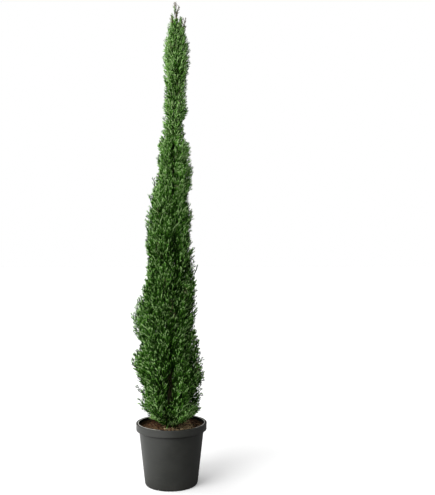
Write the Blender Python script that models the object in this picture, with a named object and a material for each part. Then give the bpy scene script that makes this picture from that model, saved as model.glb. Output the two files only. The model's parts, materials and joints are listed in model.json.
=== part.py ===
"""Columnar cypress in a round nursery pot.

Metres, +Z up. The pot stands at z = 0 with its axis on the Z axis, and the plant's front faces -Y.
The crown is cut into spaces that fit together: three columns round the trunk, each cut into tiers
by upright cones, with a last space over the trunk's tip. Each mass of foliage keeps to one space.
"""

import math
import random

import bmesh
import bpy
from mathutils import Vector

SEED = 5
CLEARANCE = 0.0003  # between pieces that rest on each other
SPACE_MARGIN = 0.0012  # foliage stays this far inside its space
FLAT_WITHIN = 1e-7  # a face whose corners lie this close to a plane is flat
WELD_WITHIN = 1e-6  # corners this close count as one when a union is tested
ATTEMPTS = 8  # at a mass, each with its own chances, until its union is closed

# The pot, a 26 cm nursery container
POT_SEGMENTS = 36
POT_HEIGHT = 0.2244
RIM_RADIUS = 0.130
LIP_INNER_RADIUS = 0.1205
LIP_THICKNESS = 0.0025
COLLAR_BOTTOM = 0.1995
COLLAR_BOTTOM_RADIUS = 0.1290
COLLAR_THICKNESS = 0.0018
WALL_FOOT_RADIUS = 0.0974
WALL_FOOT_HEIGHT = 0.008
WALL_SLOPE = 0.113  # radius gained per metre of height
WALL_THICKNESS = 0.0022
FOOT_RADIUS = 0.0919
FOOT_ROUND = (0.0034, 0.0022)  # out and up from the edge of the flat underside
FLOOR_THICKNESS = 0.0062
FLOOR_CORNER = 0.003  # between the floor and the inside of the wall
RIM_ROUND = ((0.0000, 0.0032), (0.0008, 0.0009), (0.0030, 0.0000))  # in from the rim, down from the top
LIP_ROUND = (0.0015, 0.0012)
NOTCH_TURNS = (0, 120, 240)  # degrees round the axis from +X
NOTCH_WIDTH = 0.009
NOTCH_HEIGHT = 0.004
NOTCH_START = 0.066
DRAIN_DISTANCE = 0.075
DRAIN_RADIUS = 0.0055
DRAIN_SIDES = 10

# The peat
SOIL_EDGE_HEIGHT = 0.2045
SOIL_TOP = 0.2078
SOIL_PAD_RADIUS = 0.021
SOIL_MOUND = ((0.100, 0.2052), (0.078, 0.2060), (0.052, 0.2068))  # distance out and height
SOIL_LUMP = 0.0012
SOIL_GAP = 0.0006  # to the inside of the wall

# The trunk: height, x of its axis, radius
TRUNK_STATIONS = (
    (0.2081, -0.002, 0.0160),
    (0.2200, -0.002, 0.0127),
    (0.2400, -0.003, 0.0110),
    (0.3200, -0.005, 0.0103),
    (0.4500, -0.008, 0.0097),
    (0.6200, -0.012, 0.0089),
    (0.9000, -0.014, 0.0072),
    (1.0500, -0.006, 0.0063),
    (1.1600, 0.006, 0.0055),
    (1.2900, 0.004, 0.0046),
    (1.4000, 0.010, 0.0037),
    (1.5000, 0.015, 0.0028),
    (1.6000, 0.017, 0.0017),
)
TRUNK_SIDES = 10
ROOT_LOBES = 5
ROOT_LOBE_DEPTH = 0.18
ROOT_LOBE_HEIGHT = 0.020
TOP_X = 0.014  # of the crown's tip, at CROWN_TOP
CROWN_TOP = 1.775
SWAY = 0.003  # of the axis to the front and back
SWAY_TURNS = 4.1  # radians of sway for each metre

# The crown's outline: height, reach to the left and reach to the right of the trunk's axis
CROWN = (
    (0.218, 0.055, 0.068),
    (0.258, 0.076, 0.096),
    (0.298, 0.112, 0.106),
    (0.348, 0.107, 0.112),
    (0.393, 0.104, 0.124),
    (0.433, 0.128, 0.112),
    (0.498, 0.122, 0.100),
    (0.520, 0.107, 0.107),
    (0.586, 0.120, 0.083),
    (0.630, 0.130, 0.092),
    (0.675, 0.104, 0.103),
    (0.764, 0.081, 0.100),
    (0.897, 0.088, 0.079),
    (0.986, 0.079, 0.082),
    (1.073, 0.067, 0.070),
    (1.207, 0.055, 0.060),
    (1.251, 0.050, 0.061),
    (1.273, 0.043, 0.039),
    (1.340, 0.034, 0.033),
    (1.384, 0.037, 0.045),
    (1.456, 0.030, 0.036),
    (1.516, 0.046, 0.043),
    (1.605, 0.045, 0.044),
    (1.694, 0.026, 0.034),
    (1.738, 0.009, 0.015),
    (CROWN_TOP, 0.0005, 0.0005),
)
FURROW_DEPTH = 0.20  # of the reach, down the seam between the two front columns
FURROW_WIDTH = 14  # degrees
SEAM_TURN = 270
SEAM_TWIST = 25  # degrees that the seam wanders, most at TWIST_HEIGHT
TWIST_HEIGHT = 0.85
TWIST_SPREAD = 0.25

# How far the sprays lean from upright, in degrees, by height
LEAN = ((0.21, 118), (0.25, 92), (0.30, 62), (0.45, 42), (0.80, 33), (1.20, 27), (1.60, 20), (1.775, 4))

# The spaces: each column's turns from the seam, and the heights where its tiers meet on the axis
COLUMNS = {
    "left": (-120, 0, (0.296, 0.687, 1.004, 1.38)),
    "right": (0, 120, (0.435, 0.814, 1.158, 1.39)),
    "back": (120, 240, (0.360, 0.750, 1.080, 1.36)),
}
TIER_SLOPE = 1.7  # rise of the tiers' cones for each metre outwards
SKIRT = (0.2105, 0.55)  # height on the axis and rise of the lowest wall
CROWN_CAP = (1.606, 3.0)  # the same for the wall under the top mass

# The limbs and foliage inside a mass
ROOT_BEND = 0.3  # of a limb's first stretch, where it turns from the way its flat root faces
BOUGH_LENGTH = 0.036
BOUGH_RADII = (0.0042, 0.0030)
BOUGH_SIDES = 6
BOUGH_RISE = 48  # degrees above level
BOUGH_HEIGHTS = {"left": 0.236, "right": 0.242, "back": 0.232}
STEM_RADII = (0.0030, 0.0015)
STEM_SIDES = 5
STEM_START = 0.020  # above the floor of its space, or past its bough's tip
STEM_BEND = 0.34  # of the crown's reach, where it turns upright
STEM_RISE = 0.034  # above the floor there
STEM_REACH = 0.40  # of the crown's reach, where it runs upright
STEM_POINTS = (0.4, 0.7, 0.92)  # shares of the way from the bend to the ceiling on the axis
TOP_STEM = (TRUNK_STATIONS[-1][0] + CLEARANCE, 1.65, 1.70, 1.73)  # heights
TOP_STEM_RADII = (0.0017, 0.0011)
CORE_REACH = 0.56  # of the crown's reach
CORE_GAP = 0.0042  # between a core and the trunk
CORE_MARGIN = 0.004  # between a core and the walls of its space
CORE_WAVE = 0.09  # of its reach, in and out
CORE_LEVELS = 6
CORE_STEPS = 20  # halvings of the way to the height that a core's point settles at
CORE_OUTSIDE = (0, 0.25, 0.5, 0.75, 1)  # shares of the way across, one corner at each
CORE_INSIDE = (1, 0.5, 0)
LOWEST_CORE = 0.300
CORE_CAP = ((0, 1, 7), (1, 6, 7), (1, 2, 6), (2, 3, 6), (3, 5, 6), (3, 4, 5))  # outer corners 0 to 4
TWIG_RADII = (0.0022, 0.0012)
TWIGS_PER_TIER = (8, 7, 6, 5, 4)
TOP_TWIGS = 4
LEADER_WIDTH = 0.013
SPRAY_LENGTH = ((0.21, 0.045), (0.30, 0.070), (0.50, 0.090), (1.00, 0.084), (1.40, 0.064), (1.775, 0.044))
SPRAY_WIDTH = 0.38  # of its length
SPRAY_THICKNESS = 0.0015
SPRAY_FOOT = 0.0012  # half its width where it starts
SPRAY_ROLL = 0.9  # radians that a spray may turn on its own length
SPRAY_ROOT = 0.007  # of a spray's length is sunk in its twig
# A twig's side sprays: where each leaves the twig, how far round the crown from the end spray's tip it
# reaches, and how far down from it as a share of that spray's length
SIDE_SPRAYS = ((0.97, -0.028, 0.2), (0.82, 0.028, 0.33), (0.66, 0.006, 0.64))
GOLDEN = 0.6180340
TOP_TARGET = 1.752
TARGET_ROOM = 0.003  # from a target to the walls of its space
LIMB_ROOM = 0.004  # from a mass's foliage to the trunk and the boughs
SPRAY_FITS = ((1, 0), (0.75, 0), (0.55, 0.08), (0.4, 0.18), (0.3, 0.3))  # width kept, length given up
ROLL_TRIES = 3
TWIG_DROP = 0.012  # at least this far from where a twig leaves the stem up to its end
TWIG_SPOTS = (0.15, 0.3, 0.45, 0.6, 0.8, 1)  # shares of a twig that are tested for room
TWIG_TRIES = 5
LEAN_CHANCE = 7  # degrees
ASIDE_CHANCE = 0.22  # radians
LENGTH_CHANCE = 0.12

PLASTIC = ((0.042, 0.043, 0.040), 0.42)
PEAT = ((0.052, 0.036, 0.021), 0.95)
BARK = ((0.105, 0.070, 0.045), 0.85)
FOLIAGE = ((0.052, 0.098, 0.034), 0.62)


def between(rows, height, column=1):
    """Reads a table of rows that start with a height, in straight lines between the rows."""
    if height <= rows[0][0]:
        return rows[0][column]
    for low, high in zip(rows, rows[1:]):
        if height <= high[0]:
            share = (height - low[0]) / (high[0] - low[0])
            return low[column] + share * (high[column] - low[column])
    return rows[-1][column]


AXIS_STATIONS = TRUNK_STATIONS + ((CROWN_TOP, TOP_X, 0.0),)


def axis_point(height):
    """The crown's middle at a height, which the trunk follows."""
    sway = SWAY * math.sin(SWAY_TURNS * (height - SOIL_TOP))
    return Vector((between(AXIS_STATIONS, height), sway, height))


def trunk_radius(height):
    return between(TRUNK_STATIONS, height, 2)


def bark_reach(turn, height):
    """How far the many-sided trunk reaches towards a turn."""
    from_corner = math.remainder(turn, math.tau / TRUNK_SIDES)
    return trunk_radius(height) * math.cos(from_corner)


def outward(turn):
    return Vector((math.cos(turn), math.sin(turn), 0))


def at(reach, turn, height):
    """The point at a distance from the axis, turned from +X in radians, at a height."""
    return axis_point(height) + reach * outward(turn)


def polar(point):
    offset = point - axis_point(point.z)
    return math.hypot(offset.x, offset.y), math.atan2(offset.y, offset.x)


def seam(height):
    """Where the seam between the two front columns runs at a height, in radians."""
    twist = SEAM_TWIST * math.exp(-(((height - TWIST_HEIGHT) / TWIST_SPREAD) ** 2))
    return math.radians(SEAM_TURN + twist)


def crown_reach(turn, height):
    """How far the crown reaches: its left and right outlines, blended round the front and back."""
    left, right = between(CROWN, height, 1), between(CROWN, height, 2)
    side = right if math.cos(turn) > 0 else left
    middle = (left + right) / 2 * (1 + 0.05 * math.sin(9 * height + 2 * turn))
    reach = middle + (side - middle) * math.cos(turn) ** 2
    from_seam = math.degrees(math.remainder(turn - seam(height), math.tau))
    return reach * (1 - FURROW_DEPTH * math.exp(-((from_seam / FURROW_WIDTH) ** 2)))


class Space:
    """The room that one mass keeps to: a sector between two cones, or all of the crown above one."""

    def __init__(self, column, floor, ceiling):
        self.column = column
        self.floor = floor
        self.ceiling = ceiling

    def walls(self, height):
        """The turns of the two upright walls at a height, in radians: a whole turn apart at the top."""
        first, last = COLUMNS[self.column][:2] if self.column else (0, 360)
        return seam(height) + math.radians(first), seam(height) + math.radians(last)

    def middle_turn(self, height):
        return sum(self.walls(height)) / 2

    def floor_height(self, reach):
        return self.floor[0] + self.floor[1] * reach

    def ceiling_height(self, reach):
        return self.ceiling[0] + self.ceiling[1] * reach

    def room(self, point):
        """Distance from a point to the nearest wall, negative outside the space."""
        reach, turn = polar(point)
        gaps = [(point.z - self.floor_height(reach)) / math.hypot(1, self.floor[1])]
        if self.ceiling:
            gaps.append((self.ceiling_height(reach) - point.z) / math.hypot(1, self.ceiling[1]))
        if self.column:
            first, last = self.walls(point.z)
            gaps.append(reach * math.sin(turn - first))
            gaps.append(reach * math.sin(last - turn))
        return min(gaps)


def new_object(name, body):
    """Turns a bmesh into an object, with its faces outward and those that aren't flat in triangles."""
    bmesh.ops.recalc_face_normals(body, faces=body.faces)
    bmesh.ops.triangulate(body, faces=[face for face in body.faces if not is_flat(face)])
    mesh = bpy.data.meshes.new(name)
    body.to_mesh(mesh)
    body.free()
    made = bpy.data.objects.new(name, mesh)
    bpy.context.scene.collection.objects.link(made)
    return made


def is_flat(face):
    corner = face.verts[0].co
    return all(abs((vert.co - corner).dot(face.normal)) < FLAT_WITHIN for vert in face.verts)


def lofted(name, rings, cap=None):
    """A closed solid through rings of equal numbers of points, capped at both ends.

    A cap is one face, or the faces whose corners in the ring are listed.
    """
    body = bmesh.new()
    loops = [[body.verts.new(point) for point in ring] for ring in rings]
    for low, high in zip(loops, loops[1:]):
        for index, vert in enumerate(low):
            following = (index + 1) % len(low)
            body.faces.new((vert, low[following], high[following], high[index]))
    for corners in cap or [range(len(rings[0]))]:
        body.faces.new([loops[0][corner] for corner in reversed(corners)])
        body.faces.new([loops[-1][corner] for corner in corners])
    return new_object(name, body)


def ring_square(centre, direction, turn, radius, sides):
    """Points of a circle square to a direction, counted from its side that is level."""
    sideways = outward(turn + math.pi / 2)
    sideways = (sideways - sideways.dot(direction) * direction).normalized()
    upward = direction.cross(sideways)
    angles = [math.tau * step / sides for step in range(sides)]
    return [centre + radius * (math.cos(a) * sideways + math.sin(a) * upward) for a in angles]


def root_ring(turn, height, radius, sides):
    """The flat end of a limb that faces the trunk, a clearance away from the bark."""
    reach = bark_reach(turn, height - radius) + CLEARANCE
    sideways = outward(turn + math.pi / 2)
    ring = []
    for step in range(sides):
        angle = math.tau * step / sides
        level = height + radius * math.sin(angle)
        ring.append(at(reach, turn, level) + radius * math.cos(angle) * sideways)
    return ring


def limb(name, path, radii, sides, turn, at_trunk=False):
    """A tapering limb along a path, with radii at its two ends. At the trunk its root faces the bark."""
    if at_trunk:
        path = [path[0], path[0].lerp(path[1], ROOT_BEND), *path[1:]]
    rings = []
    for index, point in enumerate(path):
        before, after = path[max(index - 1, 0)], path[min(index + 1, len(path) - 1)]
        radius = radii[0] + index / (len(path) - 1) * (radii[1] - radii[0])
        rings.append(ring_square(point, (after - before).normalized(), turn, radius, sides))
    if at_trunk:
        rings[0] = root_ring(turn, path[0].z, radii[0], sides)
    return lofted(name, rings)


def material(name, finish):
    colour, roughness = finish
    made = bpy.data.materials.new(name)
    made.use_nodes = True
    shader = made.node_tree.nodes["Principled BSDF"]
    shader.inputs["Base Color"].default_value = (*colour, 1)
    shader.inputs["Roughness"].default_value = roughness
    shader.inputs["Metallic"].default_value = 0
    return made


def turned(name, profile, segments):
    """Spins a half section, which starts and ends on the Z axis, into a closed solid."""
    body = bmesh.new()
    verts = [body.verts.new((reach, 0, height)) for reach, height in profile]
    edges = [body.edges.new(pair) for pair in zip(verts, verts[1:])]
    bmesh.ops.spin(body, geom=verts + edges, axis=(0, 0, 1), cent=(0, 0, 0), steps=segments, angle=math.tau)
    bmesh.ops.remove_doubles(body, verts=body.verts, dist=0.00001)
    return new_object(name, body)


def wall_radius(height):
    return WALL_FOOT_RADIUS + WALL_SLOPE * (height - WALL_FOOT_HEIGHT)


def inner_radius(height):
    return wall_radius(height) - WALL_THICKNESS


def pot_profile():
    """Half section, from the floor's underside round the outside, over the lip and down the inside."""
    lip_under = POT_HEIGHT - LIP_THICKNESS
    floor_corner = FLOOR_THICKNESS + FLOOR_CORNER
    return (
        (0, 0),
        (FOOT_RADIUS, 0),
        (FOOT_RADIUS + FOOT_ROUND[0], FOOT_ROUND[1]),
        (WALL_FOOT_RADIUS, WALL_FOOT_HEIGHT),
        (wall_radius(lip_under), lip_under),
        (RIM_RADIUS - COLLAR_THICKNESS, lip_under),
        (COLLAR_BOTTOM_RADIUS - COLLAR_THICKNESS, COLLAR_BOTTOM),
        (COLLAR_BOTTOM_RADIUS, COLLAR_BOTTOM),
        *((RIM_RADIUS - inward, POT_HEIGHT - down) for inward, down in RIM_ROUND),
        (LIP_INNER_RADIUS + LIP_ROUND[0], POT_HEIGHT),
        (LIP_INNER_RADIUS, POT_HEIGHT - LIP_ROUND[1]),
        (inner_radius(lip_under), lip_under),
        (inner_radius(floor_corner), floor_corner),
        (inner_radius(FLOOR_THICKNESS) - FLOOR_CORNER, FLOOR_THICKNESS),
        (0, FLOOR_THICKNESS),
    )


def drain_cutters():
    """A channel under the pot's edge and a hole at its inner end, for each drain."""
    for number, degrees in enumerate(NOTCH_TURNS):
        turn = math.radians(degrees)
        channel = bmesh.new()
        bmesh.ops.create_cube(channel, size=1)
        length = RIM_RADIUS - NOTCH_START
        bmesh.ops.scale(channel, verts=channel.verts, vec=(length, NOTCH_WIDTH, 2 * NOTCH_HEIGHT))
        cutter = new_object(f"channel_{number}", channel)
        cutter.location = (NOTCH_START + length / 2) * outward(turn)
        cutter.rotation_euler = (0, 0, turn)
        yield cutter
        hole = bmesh.new()
        size = {"radius1": DRAIN_RADIUS, "radius2": DRAIN_RADIUS, "depth": 4 * FLOOR_THICKNESS}
        bmesh.ops.create_cone(hole, cap_ends=True, segments=DRAIN_SIDES, **size)
        cutter = new_object(f"drain_{number}", hole)
        cutter.location = DRAIN_DISTANCE * outward(turn)
        yield cutter


def make_pot():
    pot = turned("pot", pot_profile(), POT_SEGMENTS)
    for cutter in drain_cutters():
        cutter.hide_render = True
        cutter.display_type = "WIRE"
        cut = pot.modifiers.new(cutter.name, "BOOLEAN")
        cut.operation = "DIFFERENCE"
        cut.object = cutter
    bake_modifiers(pot)
    for spare in [item for item in bpy.data.objects if item.display_type == "WIRE"]:
        bpy.data.objects.remove(spare)
    pot.data.materials.append(material("pot", PLASTIC))


def bake_modifiers(item):
    """Applies an object's modifiers and keeps the largest shell. Says whether that shell is closed."""
    bpy.context.view_layer.update()
    evaluated = item.evaluated_get(bpy.context.evaluated_depsgraph_get())
    mesh = bpy.data.meshes.new_from_object(evaluated)
    item.modifiers.clear()
    item.data = mesh
    body = bmesh.new()
    body.from_mesh(mesh)
    bmesh.ops.triangulate(body, faces=body.faces)
    shells = shells_of(body)
    largest = max(shells, key=shell_volume)
    spare = [vert for shell in shells if shell is not largest for vert in shell]
    bmesh.ops.delete(body, geom=spare, context="VERTS")
    body.to_mesh(mesh)
    bmesh.ops.remove_doubles(body, verts=body.verts, dist=WELD_WITHIN)
    closed = all(len(edge.link_faces) == 2 for edge in body.edges)
    body.free()
    return closed


def shells_of(body):
    """The groups of vertices that edges join."""
    left, shells = set(body.verts), []
    while left:
        shell, found = set(), [left.pop()]
        while found:
            vert = found.pop()
            shell.add(vert)
            for link in vert.link_edges:
                other = link.other_vert(vert)
                if other in left:
                    left.remove(other)
                    found.append(other)
        shells.append(shell)
    return shells


def shell_volume(shell):
    """Signed volume inside a shell of triangles, up to a factor."""
    faces = {face for vert in shell for face in vert.link_faces}
    corners = [[vert.co for vert in face.verts] for face in faces]
    return sum(a.dot(b.cross(c)) for a, b, c in corners)


def make_soil():
    """Peat that fills the pot to a little under its rim, with a lumpy, slightly mounded top."""
    bottom = FLOOR_THICKNESS + CLEARANCE
    low_corner = FLOOR_THICKNESS + FLOOR_CORNER
    profile = (
        (0, bottom),
        (inner_radius(FLOOR_THICKNESS) - FLOOR_CORNER - SOIL_GAP, bottom),
        (inner_radius(low_corner) - SOIL_GAP, low_corner + CLEARANCE),
        (inner_radius(SOIL_EDGE_HEIGHT) - SOIL_GAP, SOIL_EDGE_HEIGHT),
        *SOIL_MOUND,
        (SOIL_PAD_RADIUS, SOIL_TOP),
        (0, SOIL_TOP),
    )
    soil = turned("soil", profile, POT_SEGMENTS)
    chance = random.Random(SEED)
    for vert in soil.data.vertices:
        if SOIL_EDGE_HEIGHT < vert.co.z - FLAT_WITHIN and vert.co.z < SOIL_TOP - FLAT_WITHIN:
            vert.co.z += chance.uniform(-SOIL_LUMP, SOIL_LUMP)
    soil.data.materials.append(material("soil", PEAT))


def make_trunk():
    """One tapering trunk that leans as the crown does, with a lobed flare at its flat foot."""
    foot = TRUNK_STATIONS[0][0]
    rings = []
    for height, _, radius in TRUNK_STATIONS:
        lobes = ROOT_LOBE_DEPTH * max(0, 1 - (height - foot) / ROOT_LOBE_HEIGHT)
        ring = []
        for side in range(TRUNK_SIDES):
            turn = math.tau * side / TRUNK_SIDES
            reach = radius * (1 - lobes * (0.5 - 0.5 * math.cos(ROOT_LOBES * turn)))
            ring.append(at(reach, turn, height))
        rings.append(ring)
    trunk = lofted("trunk", rings)
    trunk.data.materials.append(material("trunk", BARK))


def bough_ends(column):
    """The middle of a low bough's root and of its tip, and its direction."""
    height = BOUGH_HEIGHTS[column]
    first, last = (math.radians(turn) for turn in COLUMNS[column][:2])
    turn = seam(height) + (first + last) / 2
    rise = math.radians(BOUGH_RISE)
    direction = math.cos(rise) * outward(turn) + math.sin(rise) * Vector((0, 0, 1))
    root = at(bark_reach(turn, height - BOUGH_RADII[0]) + CLEARANCE, turn, height)
    return root, root + BOUGH_LENGTH * direction, direction, turn


def make_bough(column):
    """A short low limb, from the trunk's foot to where it enters the lowest mass of its column."""
    root, tip, _, turn = bough_ends(column)
    bough = limb(f"bough_{column}", [root, tip], BOUGH_RADII, BOUGH_SIDES, turn, at_trunk=True)
    bough.data.materials.append(material(f"bough_{column}", BARK))


def make_core(space, tier):
    """The dense inside of a mass: rings of a sector, from its floor cone to its ceiling cone."""
    rings = []
    for level in range(CORE_LEVELS):
        up = level / (CORE_LEVELS - 1)
        outside = [core_point(space, tier, up, across, True) for across in CORE_OUTSIDE]
        inside = [core_point(space, tier, up, across, False) for across in CORE_INSIDE]
        rings.append(outside + inside)
    return lofted("core", rings, CORE_CAP)


def core_point(space, tier, up, across, is_outside):
    """A point of a core, a share of the way up and across it, on its outside or the trunk's side."""
    height = space.floor[0]
    for _ in range(CORE_STEPS):
        first, last = space.walls(height)
        turn = first + across * (last - first)
        reach = trunk_radius(height - CORE_MARGIN) + CORE_GAP
        if is_outside:
            wave = 1 + CORE_WAVE * math.sin(5 * turn + 23 * height)
            reach = max(CORE_REACH * wave * crown_reach(turn, height), reach + CORE_GAP)
        margin = math.asin(CORE_MARGIN / reach)
        turn = first + margin + across * (last - first - 2 * margin)
        low = space.floor_height(reach) + CORE_MARGIN * math.hypot(1, space.floor[1])
        high = space.ceiling_height(reach) - CORE_MARGIN * math.hypot(1, space.ceiling[1])
        if tier == 0:
            low = LOWEST_CORE
        height += (low + up * (high - low) - height) / 2
    return at(reach, turn, height)


def stem_path(space, tier):
    """The middle of a mass's stem, from the trunk or its bough up through the core."""
    if space.column is None:
        return [axis_point(height) for height in TOP_STEM]
    if tier == 0:
        _, tip, direction, _ = bough_ends(space.column)
        start = tip + CLEARANCE * direction
        path = [start, start + STEM_START * direction]
    else:
        low = space.floor_height(trunk_radius(space.floor[0])) + STEM_START
        turn = space.middle_turn(low)
        start = at(bark_reach(turn, low - STEM_RADII[0]) + CLEARANCE, turn, low)
        bend = STEM_BEND * crown_reach(turn, low)
        path = [start, at(bend, turn, space.floor_height(bend) + STEM_RISE)]
    bottom, top = path[-1].z, space.ceiling_height(0)
    for share in STEM_POINTS:
        height = bottom + share * (top - bottom)
        turn = space.middle_turn(height)
        path.append(at(STEM_REACH * crown_reach(turn, height), turn, height))
    return path


def make_stem(space, tier, path):
    turn = polar(path[0])[1] if space.column else 0
    if space.column is None:
        return limb("stem", path, TOP_STEM_RADII, STEM_SIDES, turn)
    if tier == 0:
        return limb("stem", path, (BOUGH_RADII[1], STEM_RADII[1]), STEM_SIDES, turn)
    return limb("stem", path, STEM_RADII, STEM_SIDES, turn, at_trunk=True)


def spray_outline(length, width):
    """A toothed blade: distance along the spray and to its side, round its edge."""
    return (
        (0, -SPRAY_FOOT),
        (0.60 * length, -0.46 * width),
        (length, 0),
        (0.64 * length, 0.20 * width),
        (0.46 * length, 0.50 * width),
        (0, SPRAY_FOOT),
    )


def spray_frame(root, tip, roll):
    """The directions along a blade, across it and out of its flat."""
    along = (tip - root).normalized()
    level = (along.cross(Vector((0, 0, 1))) + Vector((FLAT_WITHIN, 0, 0))).normalized()
    upward = level.cross(along)
    across = math.cos(roll) * level + math.sin(roll) * upward
    return along, across, along.cross(across)


def make_spray(root, tip, width, roll):
    along, across, flat = spray_frame(root, tip, roll)
    rings = []
    for side in (-1, 1):
        lift = side * SPRAY_THICKNESS / 2 * flat
        ring = [root + a * along + b * across + lift for a, b in spray_outline((tip - root).length, width)]
        rings.append(ring)
    return lofted("spray", rings)


def spray_fits(space, root, tip, width, roll):
    """Whether a blade keeps to its space and clear of the limbs."""
    along, across, _ = spray_frame(root, tip, roll)
    points = [root + a * along + b * across for a, b in spray_outline((tip - root).length, width)]
    points += [root.lerp(tip, share) for share in (0.25, 0.5, 0.75)]
    margin = SPACE_MARGIN + SPRAY_THICKNESS / 2
    return all(space.room(point) > margin and clear_of_limbs(space, point) for point in points)


def clear_of_limbs(space, point):
    reach, _ = polar(point)
    if point.z < TOP_STEM[0] and reach < trunk_radius(point.z - LIMB_ROOM) + LIMB_ROOM:
        return False
    if space.column is None or point.z > LOWEST_CORE:
        return True
    root, tip, _, _ = bough_ends(space.column)
    share = (point - root).dot(tip - root) / (tip - root).length_squared
    nearest = root.lerp(tip, min(1, max(0, share)))
    return (point - nearest).length > BOUGH_RADII[0] + LIMB_ROOM


def crown_point(turn, height):
    return at(crown_reach(turn, height), turn, height)


def targets(space, wanted):
    """Points spread evenly over a mass's outer face, where its twigs' end sprays reach to."""
    low = space.floor_height(0)
    high = min(space.ceiling_height(0.13), TOP_TARGET) if space.ceiling else TOP_TARGET
    for tries in range(wanted, 8 * wanted):
        found = []
        for number in range(tries):
            height = low + (high - low) * (number + 0.5) / tries
            share = number * GOLDEN % 1
            first, last = space.walls(height)
            turn = first + (last - first) * share
            if height > CROWN[0][0] and space.room(crown_point(turn, height)) > TARGET_ROOM:
                found.append((turn, height))
        if len(found) >= wanted:
            break
    return found


def fitting_spray(space, root, tip, chance):
    """A blade from a root to a tip, narrowed, rolled or shortened until it fits, or nothing."""
    for width, given_up in SPRAY_FITS:
        end = tip.lerp(root, given_up)
        blade_width = SPRAY_WIDTH * width * (end - root).length
        for _ in range(ROLL_TRIES):
            roll = chance.uniform(-SPRAY_ROLL, SPRAY_ROLL)
            if spray_fits(space, root, end, blade_width, roll):
                return make_spray(root, end, blade_width, roll)
    return None


def nearest_on(path, point):
    """The point of a stem a little below the place nearest to a twig's end."""
    spots = [a.lerp(b, step / 6) for a, b in zip(path[1:], path[2:]) for step in range(7)]
    spots = [spot for spot in spots if spot.z < point.z - TWIG_DROP] or spots[:1]
    return min(spots, key=lambda spot: (spot - point).length)


def twig_fits(space, start, end):
    spots = [start.lerp(end, share) for share in TWIG_SPOTS]
    margin = SPACE_MARGIN + TWIG_RADII[0]
    return all(space.room(spot) > margin and clear_of_limbs(space, spot) for spot in spots)


def make_twig(space, path, target, chance):
    """A twig from the stem with a spray at its end and others down its sides, as a list of solids."""
    turn, height = target
    tip = crown_point(turn, height)
    lean = math.radians(between(LEAN, height) + chance.uniform(-LEAN_CHANCE, LEAN_CHANCE))
    aside = chance.uniform(-ASIDE_CHANCE, ASIDE_CHANCE)
    direction = math.sin(lean) * outward(turn + aside) + math.cos(lean) * Vector((0, 0, 1))
    length = between(SPRAY_LENGTH, height) * (1 + chance.uniform(-LENGTH_CHANCE, LENGTH_CHANCE))
    end = tip - length * direction
    for _ in range(TWIG_TRIES):
        start = nearest_on(path, end)
        if twig_fits(space, start, end):
            break
        end = end.lerp(tip, 0.2)
    else:
        return []
    solids = []
    first = fitting_spray(space, end - SPRAY_ROOT * direction, tip, chance)
    if first:
        solids.append(first)
    for share, round_crown, down in SIDE_SPRAYS:
        side_turn = turn + round_crown / crown_reach(turn, height)
        side_height = max(height - down * length, CROWN[0][0] + TARGET_ROOM)
        fork = start.lerp(end, share)
        side_tip = crown_point(side_turn, side_height)
        root = fork - SPRAY_ROOT / 2 * (side_tip - fork).normalized()
        spray = fitting_spray(space, root, side_tip, chance)
        if spray:
            solids.append(spray)
    if solids:
        solids.append(limb("twig", [start, end], TWIG_RADII, 3, turn))
    return solids


def fuse(name, solids):
    """Joins closed solids with a Boolean union on a collection. Gives nothing if the union isn't closed."""
    whole = solids[0]
    whole.name = name
    others = bpy.data.collections.new(name)
    bpy.context.scene.collection.children.link(others)
    for solid in solids[1:]:
        bpy.context.scene.collection.objects.unlink(solid)
        others.objects.link(solid)
    union = whole.modifiers.new("union", "BOOLEAN")
    union.operation = "UNION"
    union.operand_type = "COLLECTION"
    union.collection = others
    union.solver = "EXACT"
    closed = bake_modifiers(whole)
    for solid in list(others.objects):
        bpy.data.objects.remove(solid)
    bpy.data.collections.remove(others)
    if closed:
        return whole
    bpy.data.objects.remove(whole)
    return None


def make_mass(name, space, tier, wanted):
    """One mass: a stem, a core round it, and twigs with sprays that grow out to the crown's outline."""
    path = stem_path(space, tier)
    for attempt in range(ATTEMPTS):
        chance = random.Random(f"{SEED} {name} {attempt}")
        solids = [make_stem(space, tier, path)]
        if space.column:
            solids.append(make_core(space, tier))
        else:
            solids.append(make_spray(path[-2], axis_point(CROWN_TOP), LEADER_WIDTH, SPRAY_ROLL))
        for target in targets(space, wanted):
            solids += make_twig(space, path, target, chance)
        mass = fuse(name, solids)
        if mass:
            mass.data.materials.append(material(name, FOLIAGE))
            return
    raise RuntimeError(f"{name} has no closed union")


def make_foliage():
    for column, (_, _, heights) in COLUMNS.items():
        floors = [SKIRT] + [(height, TIER_SLOPE) for height in heights]
        ceilings = floors[1:] + [CROWN_CAP]
        for tier, (floor, ceiling) in enumerate(zip(floors, ceilings)):
            space = Space(column, floor, ceiling)
            make_mass(f"foliage_{column}_{tier + 1}", space, tier, TWIGS_PER_TIER[tier])
    make_mass("foliage_top", Space(None, CROWN_CAP, None), len(floors), TOP_TWIGS)


for item in list(bpy.data.objects):
    bpy.data.objects.remove(item)

make_pot()
make_soil()
make_trunk()
for side in COLUMNS:
    make_bough(side)
make_foliage()
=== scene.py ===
import json
import math
import random

import bmesh
import bpy
import numpy as np
from mathutils import Matrix, Vector, noise

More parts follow.
